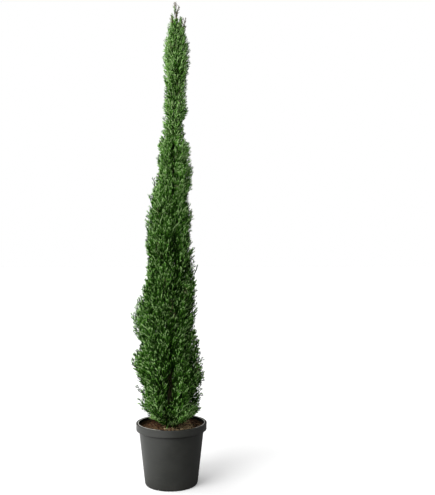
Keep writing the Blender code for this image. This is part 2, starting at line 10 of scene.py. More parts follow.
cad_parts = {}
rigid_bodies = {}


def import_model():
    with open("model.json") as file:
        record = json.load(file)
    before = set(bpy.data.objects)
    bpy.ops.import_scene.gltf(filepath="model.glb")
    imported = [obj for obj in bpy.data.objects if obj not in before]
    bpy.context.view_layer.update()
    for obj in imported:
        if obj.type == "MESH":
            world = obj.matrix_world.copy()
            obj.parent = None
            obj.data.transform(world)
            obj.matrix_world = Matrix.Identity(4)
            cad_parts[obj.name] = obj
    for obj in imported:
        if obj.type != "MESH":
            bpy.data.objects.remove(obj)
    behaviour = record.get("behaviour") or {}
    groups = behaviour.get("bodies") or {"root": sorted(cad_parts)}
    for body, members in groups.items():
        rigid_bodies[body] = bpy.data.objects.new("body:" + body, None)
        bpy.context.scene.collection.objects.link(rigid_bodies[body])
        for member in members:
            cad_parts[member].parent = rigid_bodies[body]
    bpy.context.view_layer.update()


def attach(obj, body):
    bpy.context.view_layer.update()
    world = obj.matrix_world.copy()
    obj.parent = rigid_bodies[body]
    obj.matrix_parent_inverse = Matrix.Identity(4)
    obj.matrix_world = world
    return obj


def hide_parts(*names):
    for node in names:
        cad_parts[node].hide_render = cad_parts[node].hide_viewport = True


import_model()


# The pot: a 26 cm nursery container, injection moulded in charcoal plastic, with a low bead and a groove
# on its flat lip, a drawn-in collar, a tapering wall and three drain notches in its rounded foot. Its
# satin skin has the mould's fine grain, a few scuffs and dust near the floor. A painted highlight runs
# along the bead, which is glossier there, and painted shade darkens the groove, the wall under the collar
# and the top of the inside, above a smear of peat.
POT_HEIGHT = 0.2244
RIM_RADIUS = 0.130
LIP_INNER_RADIUS = 0.1205
LIP_THICKNESS = 0.0025
BEAD_OUTER_RADIUS = 0.1238  # the bead runs round the lip's inner edge, and the groove just outside it
BEAD_HEIGHT = 0.0007
GROOVE_OUTER_RADIUS = 0.1278
GROOVE_DEPTH = 0.0013
COLLAR_BOTTOM = 0.1995
COLLAR_BOTTOM_RADIUS = 0.1290
COLLAR_THICKNESS = 0.0018
WALL_FOOT_RADIUS = 0.0974
WALL_FOOT_HEIGHT = 0.008
WALL_SLOPE = 0.113
WALL_THICKNESS = 0.0022
FOOT_RADIUS = 0.0919
FOOT_ROUND = (0.0034, 0.0022)
FLOOR_THICKNESS = 0.0062
FLOOR_CORNER = 0.003
NOTCH_TURNS = (0, 120, 240)
NOTCH_WIDTH = 0.009
NOTCH_HEIGHT = 0.004
NOTCH_START = 0.066
NOTCH_CORNER = 0.0012
DRAIN_DISTANCE = 0.075
DRAIN_RADIUS = 0.0055
POT_SEGMENTS = 144
SHARP_FROM = 40  # degrees between two faces
MOST_ROUNDED = 0.45  # the share of a straight stretch that a rounded corner may take
MARGIN = 0.0002  # for telling faces and points apart by where they are
PLASTIC = ((0.0260, 0.0272, 0.0235, 1), (0.0380, 0.0393, 0.0350, 1))  # its dark and its light
SCUFF = (0.056, 0.058, 0.052, 1)
DUST = (0.060, 0.053, 0.042, 1)
DUST_HEIGHT = 0.045
# Painted shade: near black for the lip's groove, the wall under the collar and the top of the inside.
PAINTED_SHADE = (0.006, 0.005, 0.004, 1)
PAINTED_SHADE_LIGHT = (0.016, 0.012, 0.008, 1)
PEAT_SMEAR = ((0.024, 0.015, 0.008, 1), (0.110, 0.066, 0.034, 1))
PEAT_REACHES = 0.2155  # how high peat clings to the inside of the wall; above it the wall is painted near black as shade
SPLASH = 0.008  # how uneven the upper edge of that peat is
# painted highlight: a pale, patchy line along the bead, strongest to the left and right
BEAD_HIGHLIGHT = (0.620, 0.615, 0.560, 1)
BEAD_HIGHLIGHT_MIDDLE = 0.022  # along X: the bead's painted highlight is faintest here, and stronger from here to each side
BEAD_HIGHLIGHT_FROM = (0.045, 0.085)
RUB_SHINE = -0.22
DULL_ARC = (-0.036, 0.080)  # along X, the part of the bead at the front that peat has dulled
UNDER_COLLAR = (0.1915, 0.1955)  # heights between which painted shade darkens the wall on its way up under the collar
IN_COLLAR = (0.1262, 0.1245)  # reaches between which that painted shade grows on its way in from the collar


def mesh_of(name, points, faces):
    """A smooth mesh from lists of points and faces."""
    mesh = bpy.data.meshes.new(name)
    mesh.from_pydata([tuple(point) for point in points], [], faces)
    mesh.shade_smooth()
    return mesh


def put(name, data):
    """Puts a mesh, a lamp or a camera in the scene. Gives its object."""
    made = bpy.data.objects.new(name, data)
    bpy.context.scene.collection.objects.link(made)
    return made


def mesh_from(name, body):
    """The mesh of a finished body."""
    mesh = bpy.data.meshes.new(name)
    body.to_mesh(mesh)
    body.free()
    return mesh


def piece(name, mesh, slot, material, *nodes):
    """Puts a finished mesh in the scene as a piece of the plant, standing for these solids."""
    if material:
        mesh.materials.clear()
        mesh.materials.append(material)
    made = put(name, mesh)
    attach(made, "root")
    if nodes:
        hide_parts(*nodes)


def bent(start, middle, end, share):
    """A point on the curve from a start to an end that sets out for a middle."""
    return start.lerp(middle, share).lerp(middle.lerp(end, share), share)


def softened(profile, steps=4):
    """A half section's points, with a curve in place of each corner that has a radius."""
    path = []
    for index, (reach, height, radius) in enumerate(profile):
        corner = Vector((reach, height))
        if not radius:
            path.append(corner)
            continue
        back = Vector(profile[index - 1][:2]) - corner
        on = Vector(profile[index + 1][:2]) - corner
        start = corner + min(radius, MOST_ROUNDED * back.length) * back.normalized()
        end = corner + min(radius, MOST_ROUNDED * on.length) * on.normalized()
        path += [bent(start, corner, end, step / steps) for step in range(steps + 1)]
    return path


def spun(path, segments):
    """Points and faces of a half section turned round the Z axis, which it starts and ends on."""
    points = [(0, 0, path[0][1])]
    for reach, height in path[1:-1]:
        for step in range(segments):
            turn = math.tau * step / segments
            points.append((reach * math.cos(turn), reach * math.sin(turn), height))
    points.append((0, 0, path[-1][1]))
    last = len(points) - 1
    faces = []
    for step in range(segments):
        following = (step + 1) % segments
        faces.append((0, 1 + following, 1 + step))
        for ring in range(len(path) - 3):
            low, high = 1 + ring * segments, 1 + (ring + 1) * segments
            faces.append((low + step, low + following, high + following, high + step))
        faces.append((last - segments + step, last - segments + following, last))
    return points, faces


def wall_radius(height):
    return WALL_FOOT_RADIUS + WALL_SLOPE * (height - WALL_FOOT_HEIGHT)


def inner_radius(height):
    return wall_radius(height) - WALL_THICKNESS


def pot_profile():
    """Half section with a corner radius at each point, from the underside round to the inside floor."""
    lip_under = POT_HEIGHT - LIP_THICKNESS
    floor_corner = FLOOR_THICKNESS + FLOOR_CORNER
    return (
        (0, 0, 0),
        (FOOT_RADIUS - 0.012, 0, 0),
        (FOOT_RADIUS + 0.0010, 0, 0.0020),
        (FOOT_RADIUS + FOOT_ROUND[0], FOOT_ROUND[1], 0.0016),
        (WALL_FOOT_RADIUS, WALL_FOOT_HEIGHT, 0.0030),
        (wall_radius(0.060), 0.060, 0),
        (wall_radius(0.120), 0.120, 0),
        (wall_radius(COLLAR_BOTTOM - 0.003), COLLAR_BOTTOM - 0.003, 0),
        (wall_radius(lip_under), lip_under, 0.0006),
        (RIM_RADIUS - COLLAR_THICKNESS, lip_under, 0.0006),
        (COLLAR_BOTTOM_RADIUS - COLLAR_THICKNESS, COLLAR_BOTTOM, 0.0006),
        (COLLAR_BOTTOM_RADIUS, COLLAR_BOTTOM, 0.0009),
        (COLLAR_BOTTOM_RADIUS + 0.0004, COLLAR_BOTTOM + 0.0035, 0.0012),
        (RIM_RADIUS - 0.0006, POT_HEIGHT - 0.0075, 0.0015),
        (RIM_RADIUS, POT_HEIGHT - 0.0048, 0.0012),
        (RIM_RADIUS, POT_HEIGHT, 0.0014),
        (GROOVE_OUTER_RADIUS, POT_HEIGHT, 0.0006),
        (GROOVE_OUTER_RADIUS - 0.0007, POT_HEIGHT - GROOVE_DEPTH, 0.0004),
        (BEAD_OUTER_RADIUS + 0.0003, POT_HEIGHT - GROOVE_DEPTH, 0.0004),
        (BEAD_OUTER_RADIUS, POT_HEIGHT + BEAD_HEIGHT, 0.0010),
        (LIP_INNER_RADIUS, POT_HEIGHT + BEAD_HEIGHT, 0.0012),
        (LIP_INNER_RADIUS, lip_under, 0.0008),
        (inner_radius(lip_under), lip_under, 0.0006),
        (inner_radius(floor_corner), floor_corner, 0.0010),
        (inner_radius(FLOOR_THICKNESS) - FLOOR_CORNER, FLOOR_THICKNESS, 0.0010),
        (0, FLOOR_THICKNESS, 0),
    )


def drain_cutters():
    """A channel under the pot's edge and a hole at its inner end, for each drain."""
    length = RIM_RADIUS - NOTCH_START
    for degrees in NOTCH_TURNS:
        turn = Matrix.Rotation(math.radians(degrees), 3, "Z")
        channel = bmesh.new()
        bmesh.ops.create_cube(channel, size=1)
        bmesh.ops.scale(channel, verts=channel.verts, vec=(length, NOTCH_WIDTH, 2 * NOTCH_HEIGHT))
        bmesh.ops.translate(channel, verts=channel.verts, vec=(NOTCH_START + length / 2, 0, 0))
        lengthwise = [edge for edge in channel.edges if edge.calc_length() > length / 2]
        bmesh.ops.bevel(channel, geom=lengthwise, offset=NOTCH_CORNER, segments=3, affect="EDGES")
        hole = bmesh.new()
        size = {"radius1": DRAIN_RADIUS, "radius2": DRAIN_RADIUS, "depth": 4 * FLOOR_THICKNESS}
        bmesh.ops.create_cone(hole, cap_ends=True, segments=32, **size)
        bmesh.ops.translate(hole, verts=hole.verts, vec=(DRAIN_DISTANCE, 0, 0))
        for cutter in (channel, hole):
            bmesh.ops.rotate(cutter, verts=cutter.verts, matrix=turn)
            yield put("cutter", mesh_from("cutter", cutter))


def plain_mesh(item):
    """The mesh that an object's modifiers make of it."""
    bpy.context.view_layer.update()
    evaluated = item.evaluated_get(bpy.context.evaluated_depsgraph_get())
    return bpy.data.meshes.new_from_object(evaluated)


def make_pot_mesh():
    blank = put("blank", mesh_of("blank", *spun(softened(pot_profile()), POT_SEGMENTS)))
    cutters = list(drain_cutters())
    for cutter in cutters:
        cut = blank.modifiers.new("drain", "BOOLEAN")
        cut.operation = "DIFFERENCE"
        cut.object = cutter
    mesh = plain_mesh(blank)
    for spare in (blank, *cutters):
        bpy.data.objects.remove(spare)
    mesh.shade_smooth()
    mesh.set_sharp_from_angle(angle=math.radians(SHARP_FROM))
    return mesh


def node(tree, kind, inputs=(), **settings):
    """Adds a node, sets it up, and fills or links its inputs by name or number."""
    made = tree.nodes.new(kind)
    for name, value in settings.items():
        setattr(made, name, value)
    for name, value in dict(inputs).items():
        if isinstance(value, bpy.types.NodeSocket):
            tree.links.new(value, made.inputs[name])
        else:
            made.inputs[name].default_value = value
    return made


def reckoned(tree, operation, *values):
    """The result of a calculation with values or sockets."""
    return node(tree, "ShaderNodeMath", enumerate(values), operation=operation).outputs[0]


def ranged(tree, value, start, end, low=0, high=1, **settings):
    """A number that goes from low to high as a value goes from start to end."""
    limits = {"Value": value, "From Min": start, "From Max": end, "To Min": low, "To Max": high}
    return node(tree, "ShaderNodeMapRange", limits, **settings).outputs["Result"]


def mix_colours(tree, share, first, second):
    """A colour between two, each of them a value or a socket."""
    return node(tree, "ShaderNodeMix", {0: share, 6: first, 7: second}, data_type="RGBA").outputs[2]


def place_in(tree):
    """Where a point of the surface is, and its X and its Z alone."""
    place = node(tree, "ShaderNodeTexCoord").outputs["Object"]
    parts = node(tree, "ShaderNodeSeparateXYZ", {0: place}).outputs
    return place, parts["X"], parts["Z"]


def beside(tree, across, middle):
    """How far along X a point lies from a middle, to either side."""
    return reckoned(tree, "ABSOLUTE", reckoned(tree, "ADD", across, -middle))


def new_group(name, kind, inputs, outputs):
    """An empty node group with named sockets. Gives the tree, what comes in and what goes out."""
    tree = bpy.data.node_groups.new(name, kind)
    for way, sockets in (("INPUT", inputs), ("OUTPUT", outputs)):
        for label, sort in sockets.items():
            tree.interface.new_socket(label, in_out=way, socket_type=f"NodeSocket{sort}")
    return tree, tree.nodes.new("NodeGroupInput").outputs, tree.nodes.new("NodeGroupOutput").inputs


def make_mottle():
    """Blotches of two colours and two degrees of gloss, with a height to match."""
    inputs = {"Scale": "Float", "Stretch": "Vector", "Dark": "Color", "Light": "Color"}
    inputs.update({"Smooth": "Float", "Rough": "Float"})
    outputs = {"Color": "Color", "Roughness": "Float", "Height": "Float"}
    tree, given, made = new_group("mottle", "ShaderNodeTree", inputs, outputs)
    place = node(tree, "ShaderNodeTexCoord").outputs["Object"]
    drawn = node(tree, "ShaderNodeVectorMath", {0: place, 1: given["Stretch"]}, operation="MULTIPLY")
    blotch = {"Vector": drawn.outputs[0], "Scale": given["Scale"], "Detail": 7, "Roughness": 0.62}
    spots = node(tree, "ShaderNodeTexNoise", blotch).outputs["Fac"]
    all_dark, all_light = 0.33, 0.67
    share = ranged(tree, spots, all_dark, all_light)
    tree.links.new(mix_colours(tree, share, given["Dark"], given["Light"]), made["Color"])
    tree.links.new(ranged(tree, share, 0, 1, given["Smooth"], given["Rough"]), made["Roughness"])
    tree.links.new(share, made["Height"])
    return tree


MOTTLE = make_mottle()


def new_material(name, **fixed):
    """A material with its shader's plain values set. Gives the material, its tree and its shader."""
    made = bpy.data.materials.new(name)
    made.use_nodes = True
    shader = made.node_tree.nodes["Principled BSDF"]
    for label, value in fixed.items():
        shader.inputs[label.replace("_", " ")].default_value = value
    return made, made.node_tree, shader


def mottled(tree, scale, dark, light, gloss, stretch=(1, 1, 1)):
    """The mottle group in a material, with its own values."""
    values = {"Scale": scale, "Stretch": stretch, "Dark": dark, "Light": light}
    values.update({"Smooth": gloss[0], "Rough": gloss[1]})
    return node(tree, "ShaderNodeGroup", values, node_tree=MOTTLE).outputs


def dress(tree, shader, colour, roughness, *reliefs):
    """Links a shader's colour, if one is given, its roughness and its bump.

    Each relief is a height, a strength and a distance, and lies over the one before.
    """
    if colour:
        tree.links.new(colour, shader.inputs["Base Color"])
    tree.links.new(roughness, shader.inputs["Roughness"])
    under = None
    for height, strength, distance in reliefs:
        relief = node(tree, "ShaderNodeBump", {"Height": height, "Strength": strength, "Distance": distance})
        if under:
            tree.links.new(under, relief.inputs["Normal"])
        under = relief.outputs["Normal"]
    tree.links.new(under, shader.inputs["Normal"])


def make_plastic():
    material, tree, shader = new_material("charcoal_plastic", Specular_IOR_Level=0.44)
    cloudy = mottled(tree, 9, *PLASTIC, (0.36, 0.48))
    grain = mottled(tree, 1400, *PLASTIC, (0.3, 0.6))
    scuffs_and_glint = mottled(tree, 26, *PLASTIC, (0, 1), (1, 1, 16))
    place, across, height = place_in(tree)
    worn = ranged(tree, scuffs_and_glint["Height"], 0.72, 1.0, 0, 0.30)
    colour = mix_colours(tree, worn, cloudy["Color"], SCUFF)
    specks = node(tree, "ShaderNodeTexNoise", {"Vector": place, "Scale": 210, "Detail": 4}).outputs["Fac"]
    near_floor = ranged(tree, height, DUST_HEIGHT, 0, 0, 0.55)
    settled = reckoned(tree, "MULTIPLY", ranged(tree, specks, 0.50, 0.72), near_floor)
    colour = mix_colours(tree, settled, colour, DUST)
    around = node(tree, "ShaderNodeVectorMath", {0: place, 1: (1, 1, 0)}, operation="MULTIPLY").outputs[0]
    reach = node(tree, "ShaderNodeVectorMath", {0: around}, operation="LENGTH").outputs["Value"]
    # painted shade on the wall under the collar, where the collar's shadow falls
    collar_shade = ranged(tree, reach, *IN_COLLAR, 0, ranged(tree, height, *UNDER_COLLAR))
    colour = mix_colours(tree, collar_shade, colour, PAINTED_SHADE)
    # painted highlight along the bead, in patches, faint in the middle along X
    glint_patches = ranged(tree, scuffs_and_glint["Height"], -0.6, 0.6)
    glint_patches = ranged(tree, beside(tree, across, BEAD_HIGHLIGHT_MIDDLE), *BEAD_HIGHLIGHT_FROM, 0, glint_patches)
    bead = ranged(tree, reach, BEAD_OUTER_RADIUS + MARGIN, BEAD_OUTER_RADIUS - MARGIN, 0, glint_patches)
    edge = ranged(tree, height, POT_HEIGHT - 5 * MARGIN, POT_HEIGHT - MARGIN, 0, bead)
    colour = mix_colours(tree, edge, colour, BEAD_HIGHLIGHT)
    dulled = reckoned(tree, "ADD", cloudy["Roughness"], settled)
    polished = reckoned(tree, "MULTIPLY_ADD", edge, RUB_SHINE, dulled)
    wavy, grainy = (cloudy["Height"], 0.15, 0.0004), (grain["Height"], 0.22, 0.00012)
    dress(tree, shader, colour, polished, wavy, grainy)
    return material


def make_dull_plastic(name, gloss, dark, light, splashed_to=None):
    """Dull plastic mottled in two colours, painted near black as shade above an uneven line if a height is
    given.
    """
    material, tree, shader = new_material(name, Specular_IOR_Level=gloss)
    stain = mottled(tree, 60, dark, light, (0.85, 1.0))
    colour = stain["Color"]
    if splashed_to:
        uneven = reckoned(tree, "MULTIPLY_ADD", stain["Height"], SPLASH, place_in(tree)[2])
        shaded_above = ranged(tree, uneven, splashed_to, splashed_to + SPLASH / 2)
        colour = mix_colours(tree, shaded_above, colour, PAINTED_SHADE)
    dress(tree, shader, colour, stain["Roughness"], (stain["Height"], 0.4, 0.0004))
    return material


def deal_plastics(mesh):
    """Gives plastic 3 to the inside, under the lip, 1 to the lip's groove and 2 to its dulled bead."""
    middle = wall_radius(0) - WALL_THICKNESS / 2
    lip_low = POT_HEIGHT - GROOVE_DEPTH - MARGIN
    for face in mesh.polygons:
        reach, height = face.center.xy.length, face.center.z
        under_lip = FLOOR_THICKNESS - MARGIN / 2 < height < POT_HEIGHT - 2 * MARGIN
        on_lip = lip_low < height < POT_HEIGHT + MARGIN
        at_front = face.center.y < 0 and DULL_ARC[0] < face.center.x < DULL_ARC[1]
        if under_lip and reach - WALL_SLOPE * height < middle:
            face.material_index = 3
        elif on_lip and BEAD_OUTER_RADIUS - MARGIN < reach < GROOVE_OUTER_RADIUS + MARGIN / 2:
            face.material_index = 1
        elif at_front and height > lip_low and reach < BEAD_OUTER_RADIUS + MARGIN:
            face.material_index = 2


pot_mesh = make_pot_mesh()
pot_mesh.materials.clear()
for plastic in (
    make_plastic(),
    # the lip's groove, painted near black as shade
    make_dull_plastic("stained_plastic", 0.06, PAINTED_SHADE, PAINTED_SHADE_LIGHT),
    make_dull_plastic("dulled_lip", 0.30, *PLASTIC),
    # the inside: a smear of peat, with painted shade above it
    make_dull_plastic("peaty_plastic", 0.06, *PEAT_SMEAR, PEAT_REACHES),
):
    pot_mesh.materials.append(plastic)
deal_plastics(pot_mesh)
piece("pot_shell", pot_mesh, "pot", None, "pot")


# The peat: damp brown potting peat that fills the pot to 2 cm under its rim, heaped a little round the
# trunk. Its surface is lumpy and redder at the sides, with crumbs, clods, chips of bark and short pale
# fibres lying on it, and a litter of pale slivers in front of the trunk's foot.
SOIL_EDGE_HEIGHT = 0.2045
SOIL_TOP = 0.2078
SOIL_GAP = 0.0006
SOIL_MOUND = (
    *((0.0, 0.2086), (0.021, 0.2080), (0.052, 0.2068)),
    *((0.078, 0.2060), (0.100, 0.2052), (0.117, 0.2045)),
)
SOIL_RINGS = 64
SOIL_SEGMENTS = 168
SOIL_LUMPS = ((42, 0.0018), (150, 0.0028), (330, 0.0008))  # noise scale and height of each size of lump
LUMPS_END = 0.1185  # how far out the lumps reach
LUMPS_FADE = 0.0135  # over how far they fade away before that
SOIL_WAIST = 0.1  # a height at which the peat has a ring of points
FORMS = 4  # of each shape of bit
LOOSE_EDGE = 0.0060  # from the pot's wall to where the loose bits begin
PEAT_DARK = (0.008, 0.004, 0.0015, 1)
PEAT_LIGHT = (0.600, 0.400, 0.200, 1)
PEAT_PALE = (0.460, 0.310, 0.180, 1)
REDDISH = ((0.016, 0.005, 0.002, 1), (0.110, 0.043, 0.020, 1))
LEAST_RED = 0.030  # along X
REDDER = (0.02, 0.11, 0.05, 0.85)  # from and to how far beside that, and from and to what share
LITTER = (-0.028, 0.080)  # along X, the part of the peat where the slivers lie
# The loose bits: their shape, how many lie on a square metre, the smallest and the largest, how far they
# tumble, and their seed
BITS = {
    "peat_crumbs": ("crumb", 9000.0, 0.0012, 0.0044, 1.0, 3),
    "dry_crumbs": ("crumb", 5000.0, 0.0010, 0.0036, 1.0, 12),
    "bark_chips": ("chip", 3200.0, 0.0014, 0.0044, 0.35, 8),
    "peat_fibres": ("fibre", 2800.0, 0.0060, 0.0160, 0.14, 5),
    "bark_slivers": ("sliver", 20000.0, 0.0070, 0.0150, 0.55, 21),
    "peat_clods": ("crumb", 1900.0, 0.0026, 0.0064, 1.0, 30),
}
# How finely each is mottled, and its dark and its light brown
BROWNS = {
    "peat_crumbs": (160, (0.010, 0.005, 0.0025, 1), (0.075, 0.040, 0.019, 1)),
    "dry_crumbs": (120, (0.034, 0.012, 0.005, 1), (0.150, 0.064, 0.028, 1)),
    "bark_chips": (60, (0.028, 0.014, 0.007, 1), (0.260, 0.150, 0.080, 1)),
    "peat_fibres": (40, (0.200, 0.130, 0.080, 1), (0.300, 0.200, 0.115, 1)),
    "bark_slivers": (50, (0.360, 0.262, 0.125, 1), (0.880, 0.690, 0.415, 1)),
    "peat_clods": (90, (0.010, 0.003, 0.0015, 1), (0.150, 0.060, 0.028, 1)),
}
MOST_TUMBLED = Vector((1, 1, 3.2))  # radians about X, Y and Z
CRUMB_BREAKS = (0.45, 1.7)  # how far a crumb's outline stands in and out, and how often
CRUMBS_APART = Vector((7.3, 0, 0))  # in the noise that breaks them, so that no two are alike
SLIVER_STOUTNESS = 3.2  # beside a fibre
CHIP_FLATNESS = 0.28
FIBRE_RADII = (0.018, 0.030, 0.034, 0.030, 0.024, 0.010)


def between(rows, height, column=1):
    """Reads a table of rows that start with a height, in straight lines between the rows."""
    if height <= rows[0][0]:
        return rows[0][column]
    for low, high in zip(rows, rows[1:]):
        if height <= high[0]:
            share = (height - low[0]) / (high[0] - low[0])
            return low[column] + share * (high[column] - low[column])
    return rows[-1][column]


def soil_height(x, y):
    reach = math.hypot(x, y)
    height = between(SOIL_MOUND, reach)
    fade = min(1, max(0, (LUMPS_END - reach) / LUMPS_FADE))
    for scale, rise in SOIL_LUMPS:
        height += fade * rise * noise.noise(Vector((x, y, 0.3)) * scale)
    return height


def make_soil_mesh():
    """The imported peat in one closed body, with a finely shaped top."""
    bottom = FLOOR_THICKNESS + SOIL_GAP / 2
    corner = FLOOR_THICKNESS + FLOOR_CORNER
    edge = inner_radius(SOIL_EDGE_HEIGHT) - SOIL_GAP
    path = [(0, bottom), (inner_radius(bottom) - FLOOR_CORNER - SOIL_GAP, bottom)]
    path += [(inner_radius(height) - SOIL_GAP, height) for height in (corner, SOIL_WAIST)]
    path += [(edge * (1 - ring / SOIL_RINGS), SOIL_EDGE_HEIGHT) for ring in range(SOIL_RINGS + 1)]
    points, faces = spun(path, SOIL_SEGMENTS)
    shaped = []
    for x, y, z in points:
        on_top = z > SOIL_EDGE_HEIGHT - MARGIN
        shaped.append((x, y, soil_height(x, y) if on_top else z))
    return mesh_of("peat", shaped, faces)


def ground_under_bits(peat_body, left_end=-1.0, right_end=1.0):
    """The peat's top alone, clear of the pot's wall, for the loose bits to lie on."""
    ground = bmesh.new()
    ground.from_mesh(peat_body)
    ground.normal_update()
    limit = inner_radius(SOIL_EDGE_HEIGHT) - LOOSE_EDGE
    spare = []
    for face in ground.faces:
        centre = face.calc_center_median()
        if face.normal.z < 0.5 or centre.xy.length > limit or not left_end < centre.x < right_end:
            spare.append(face)
    bmesh.ops.delete(ground, geom=spare, context="FACES")
    return mesh_from("ground", ground)


def make_peat():
    material, tree, shader = new_material("peat", Specular_IOR_Level=0.10)
    clods = mottled(tree, 130, PEAT_DARK, PEAT_LIGHT, (0.78, 1.0))
    reddish = mottled(tree, 28, *REDDISH, (0.8, 1.0))
    fine = mottled(tree, 520, PEAT_DARK, PEAT_PALE, (0.8, 1.0))
    redder = ranged(tree, beside(tree, place_in(tree)[1], LEAST_RED), *REDDER)
    colour = mix_colours(tree, redder, clods["Color"], reddish["Color"])
    colour = mix_colours(tree, ranged(tree, fine["Height"], 0.55, 1.0, 0, 0.55), colour, PEAT_PALE)
    lumpy, gritty = (clods["Height"], 1.0, 0.0022), (fine["Height"], 0.7, 0.0006)
    dress(tree, shader, colour, clods["Roughness"], lumpy, gritty)
    return material


def make_flecks(name, scale, dark, light):
    """A material for loose bits, in two mottled browns."""
    material, tree, shader = new_material(name, Specular_IOR_Level=0.10)
    spots = mottled(tree, scale, dark, light, (0.75, 1.0))
    fine = mottled(tree, 900, dark, light, (0.7, 1.0))
    dress(tree, shader, spots["Color"], spots["Roughness"], (fine["Height"], 0.5, 0.0003))
    return material


def in_use(sockets, *names):
    """The sockets by these names that a node uses: it has one for each kind of value."""
    return [socket for socket in sockets if socket.enabled and socket.name in names]


def random_value(tree, kind, least, most, seed):
    """A random value for each point, between two sockets."""
    made = node(tree, "FunctionNodeRandomValue", {"Seed": seed}, data_type=kind)
    for socket, value in zip(in_use(made.inputs, "Min", "Max"), (least, most)):
        tree.links.new(value, socket)
    return in_use(made.outputs, "Value")[0]


def forms_of(tree, collection):
    """The forms in a collection, one by one, each about its own origin."""
    choice = {"Collection": collection, "Separate Children": True, "Reset Children": True}
    return node(tree, "GeometryNodeCollectionInfo", choice).outputs[0]


def scatter_tree():
    """A tree that drops bits from a collection on a surface."""
    inputs = {"Surface": "Geometry", "Bits": "Collection", "Density": "Float", "Smallest": "Float"}
    inputs.update({"Largest": "Float", "Tumble": "Float", "Seed": "Int", "Material": "Material"})
    tree, given, made = new_group("scattered", "GeometryNodeTree", inputs, {"Bits": "Geometry"})
    seed = given["Seed"]
    spread = {"Mesh": given["Surface"], "Density": given["Density"], "Seed": seed}
    spots = node(tree, "GeometryNodeDistributePointsOnFaces", spread)
    tumbles = []
    for widest in (-MOST_TUMBLED, MOST_TUMBLED):
        scaled = {0: widest, 3: given["Tumble"]}
        tumbles.append(node(tree, "ShaderNodeVectorMath", scaled, operation="SCALE").outputs[0])
    placing = {"Points": spots.outputs["Points"], "Instance": forms_of(tree, given["Bits"])}
    placing["Rotation"] = random_value(tree, "FLOAT_VECTOR", *tumbles, seed)
    placing["Scale"] = random_value(tree, "FLOAT", given["Smallest"], given["Largest"], seed)
    placed = node(tree, "GeometryNodeInstanceOnPoints", {**placing, "Pick Instance": True})
    solid = node(tree, "GeometryNodeRealizeInstances", {0: placed.outputs[0]}).outputs[0]
    coloured = node(tree, "GeometryNodeSetMaterial", {"Geometry": solid, "Material": given["Material"]})
    tree.links.new(coloured.outputs[0], made["Bits"])
    return tree


def grown(tree, base, **inputs):
    """The plain mesh that a Geometry Nodes tree makes from a mesh, given the tree's named inputs."""
    carrier = put(tree.name, base)
    modifier = carrier.modifiers.new(tree.name, "NODES")
    modifier.node_group = tree
    for socket in tree.interface.items_tree:
        if socket.in_out == "INPUT" and socket.name in inputs:
            modifier[socket.identifier] = inputs[socket.name]
    mesh = plain_mesh(carrier)
    bpy.data.objects.remove(carrier)
    return mesh


def kept_apart(name, meshes):
    """A collection of forms for a tree to choose from. It is cleared again with clear_away."""
    forms = bpy.data.collections.new(name)
    bpy.context.scene.collection.children.link(forms)
    for number, mesh in enumerate(meshes):
        forms.objects.link(bpy.data.objects.new(f"{name}_{number}", mesh))
    return forms


def clear_away(forms):
    for item in list(forms.objects):
        bpy.data.objects.remove(item)
    bpy.data.collections.remove(forms)


def crumb_mesh(number, flatness=0.75):
    """A lump of unit size with a broken outline."""
    body = bmesh.new()
    bmesh.ops.create_icosphere(body, subdivisions=1, radius=1)
    for vert in body.verts:
        place = vert.co * CRUMB_BREAKS[1] + number * CRUMBS_APART
        vert.co *= 1 + CRUMB_BREAKS[0] * noise.noise(place)
        vert.co.z *= flatness
    mesh = mesh_from("crumb", body)
    mesh.shade_smooth()
    return mesh


def swung(turn, first, second):
    """A direction, turned from the first towards the second."""
    return math.cos(turn) * first + math.sin(turn) * second


def ring_faces(first, rings, sides):
    """Faces between rings of points that follow one another, from the number of the first point."""
    faces = []
    for low in range(first, first + (rings - 1) * sides, sides):
        for side in range(sides):
            following = (side + 1) % sides
            faces.append((low + side, low + following, low + sides + following, low + sides + side))
    return faces


def tube(path, radii, sides, relief=None):
    """Points and faces of a closed limb along a path, with a radius at each of its points."""
    points = []
    last = len(path) - 1
    sideways = Vector((0.83, 0.55, 0.1))  # any way in which no path sets out
    for index, centre in enumerate(path):
        along = (path[min(index + 1, last)] - path[max(index - 1, 0)]).normalized()
        sideways = (sideways - sideways.dot(along) * along).normalized()
        other = along.cross(sideways)
        for side in range(sides):
            turn = math.tau * side / sides
            reach = float(radii[index]) * (relief(turn, centre) if relief else 1)
            points.append(centre + reach * swung(turn, sideways, other))
    faces = ring_faces(0, len(path), sides)
    faces.append(tuple(reversed(range(sides))))
    faces.append(tuple(last * sides + side for side in range(sides)))
    return points, faces


def fibre_mesh(number, stoutness=1):
    """A thin bent fibre of unit length, lying level."""
    chance = random.Random(number)
    bend, lift = chance.uniform(-0.3, 0.3) / stoutness, chance.uniform(0.03, 0.10)
    path = []
    for step in range(len(FIBRE_RADII)):
        along = step / (len(FIBRE_RADII) - 1) - 0.5
        rise = 0.04 * stoutness + lift * math.cos(3 * along + number)
        path.append(Vector((along, bend * (4 * along * along - 0.5), rise)))
    return mesh_of("fibre", *tube(path, [stoutness * radius for radius in FIBRE_RADII], 4))


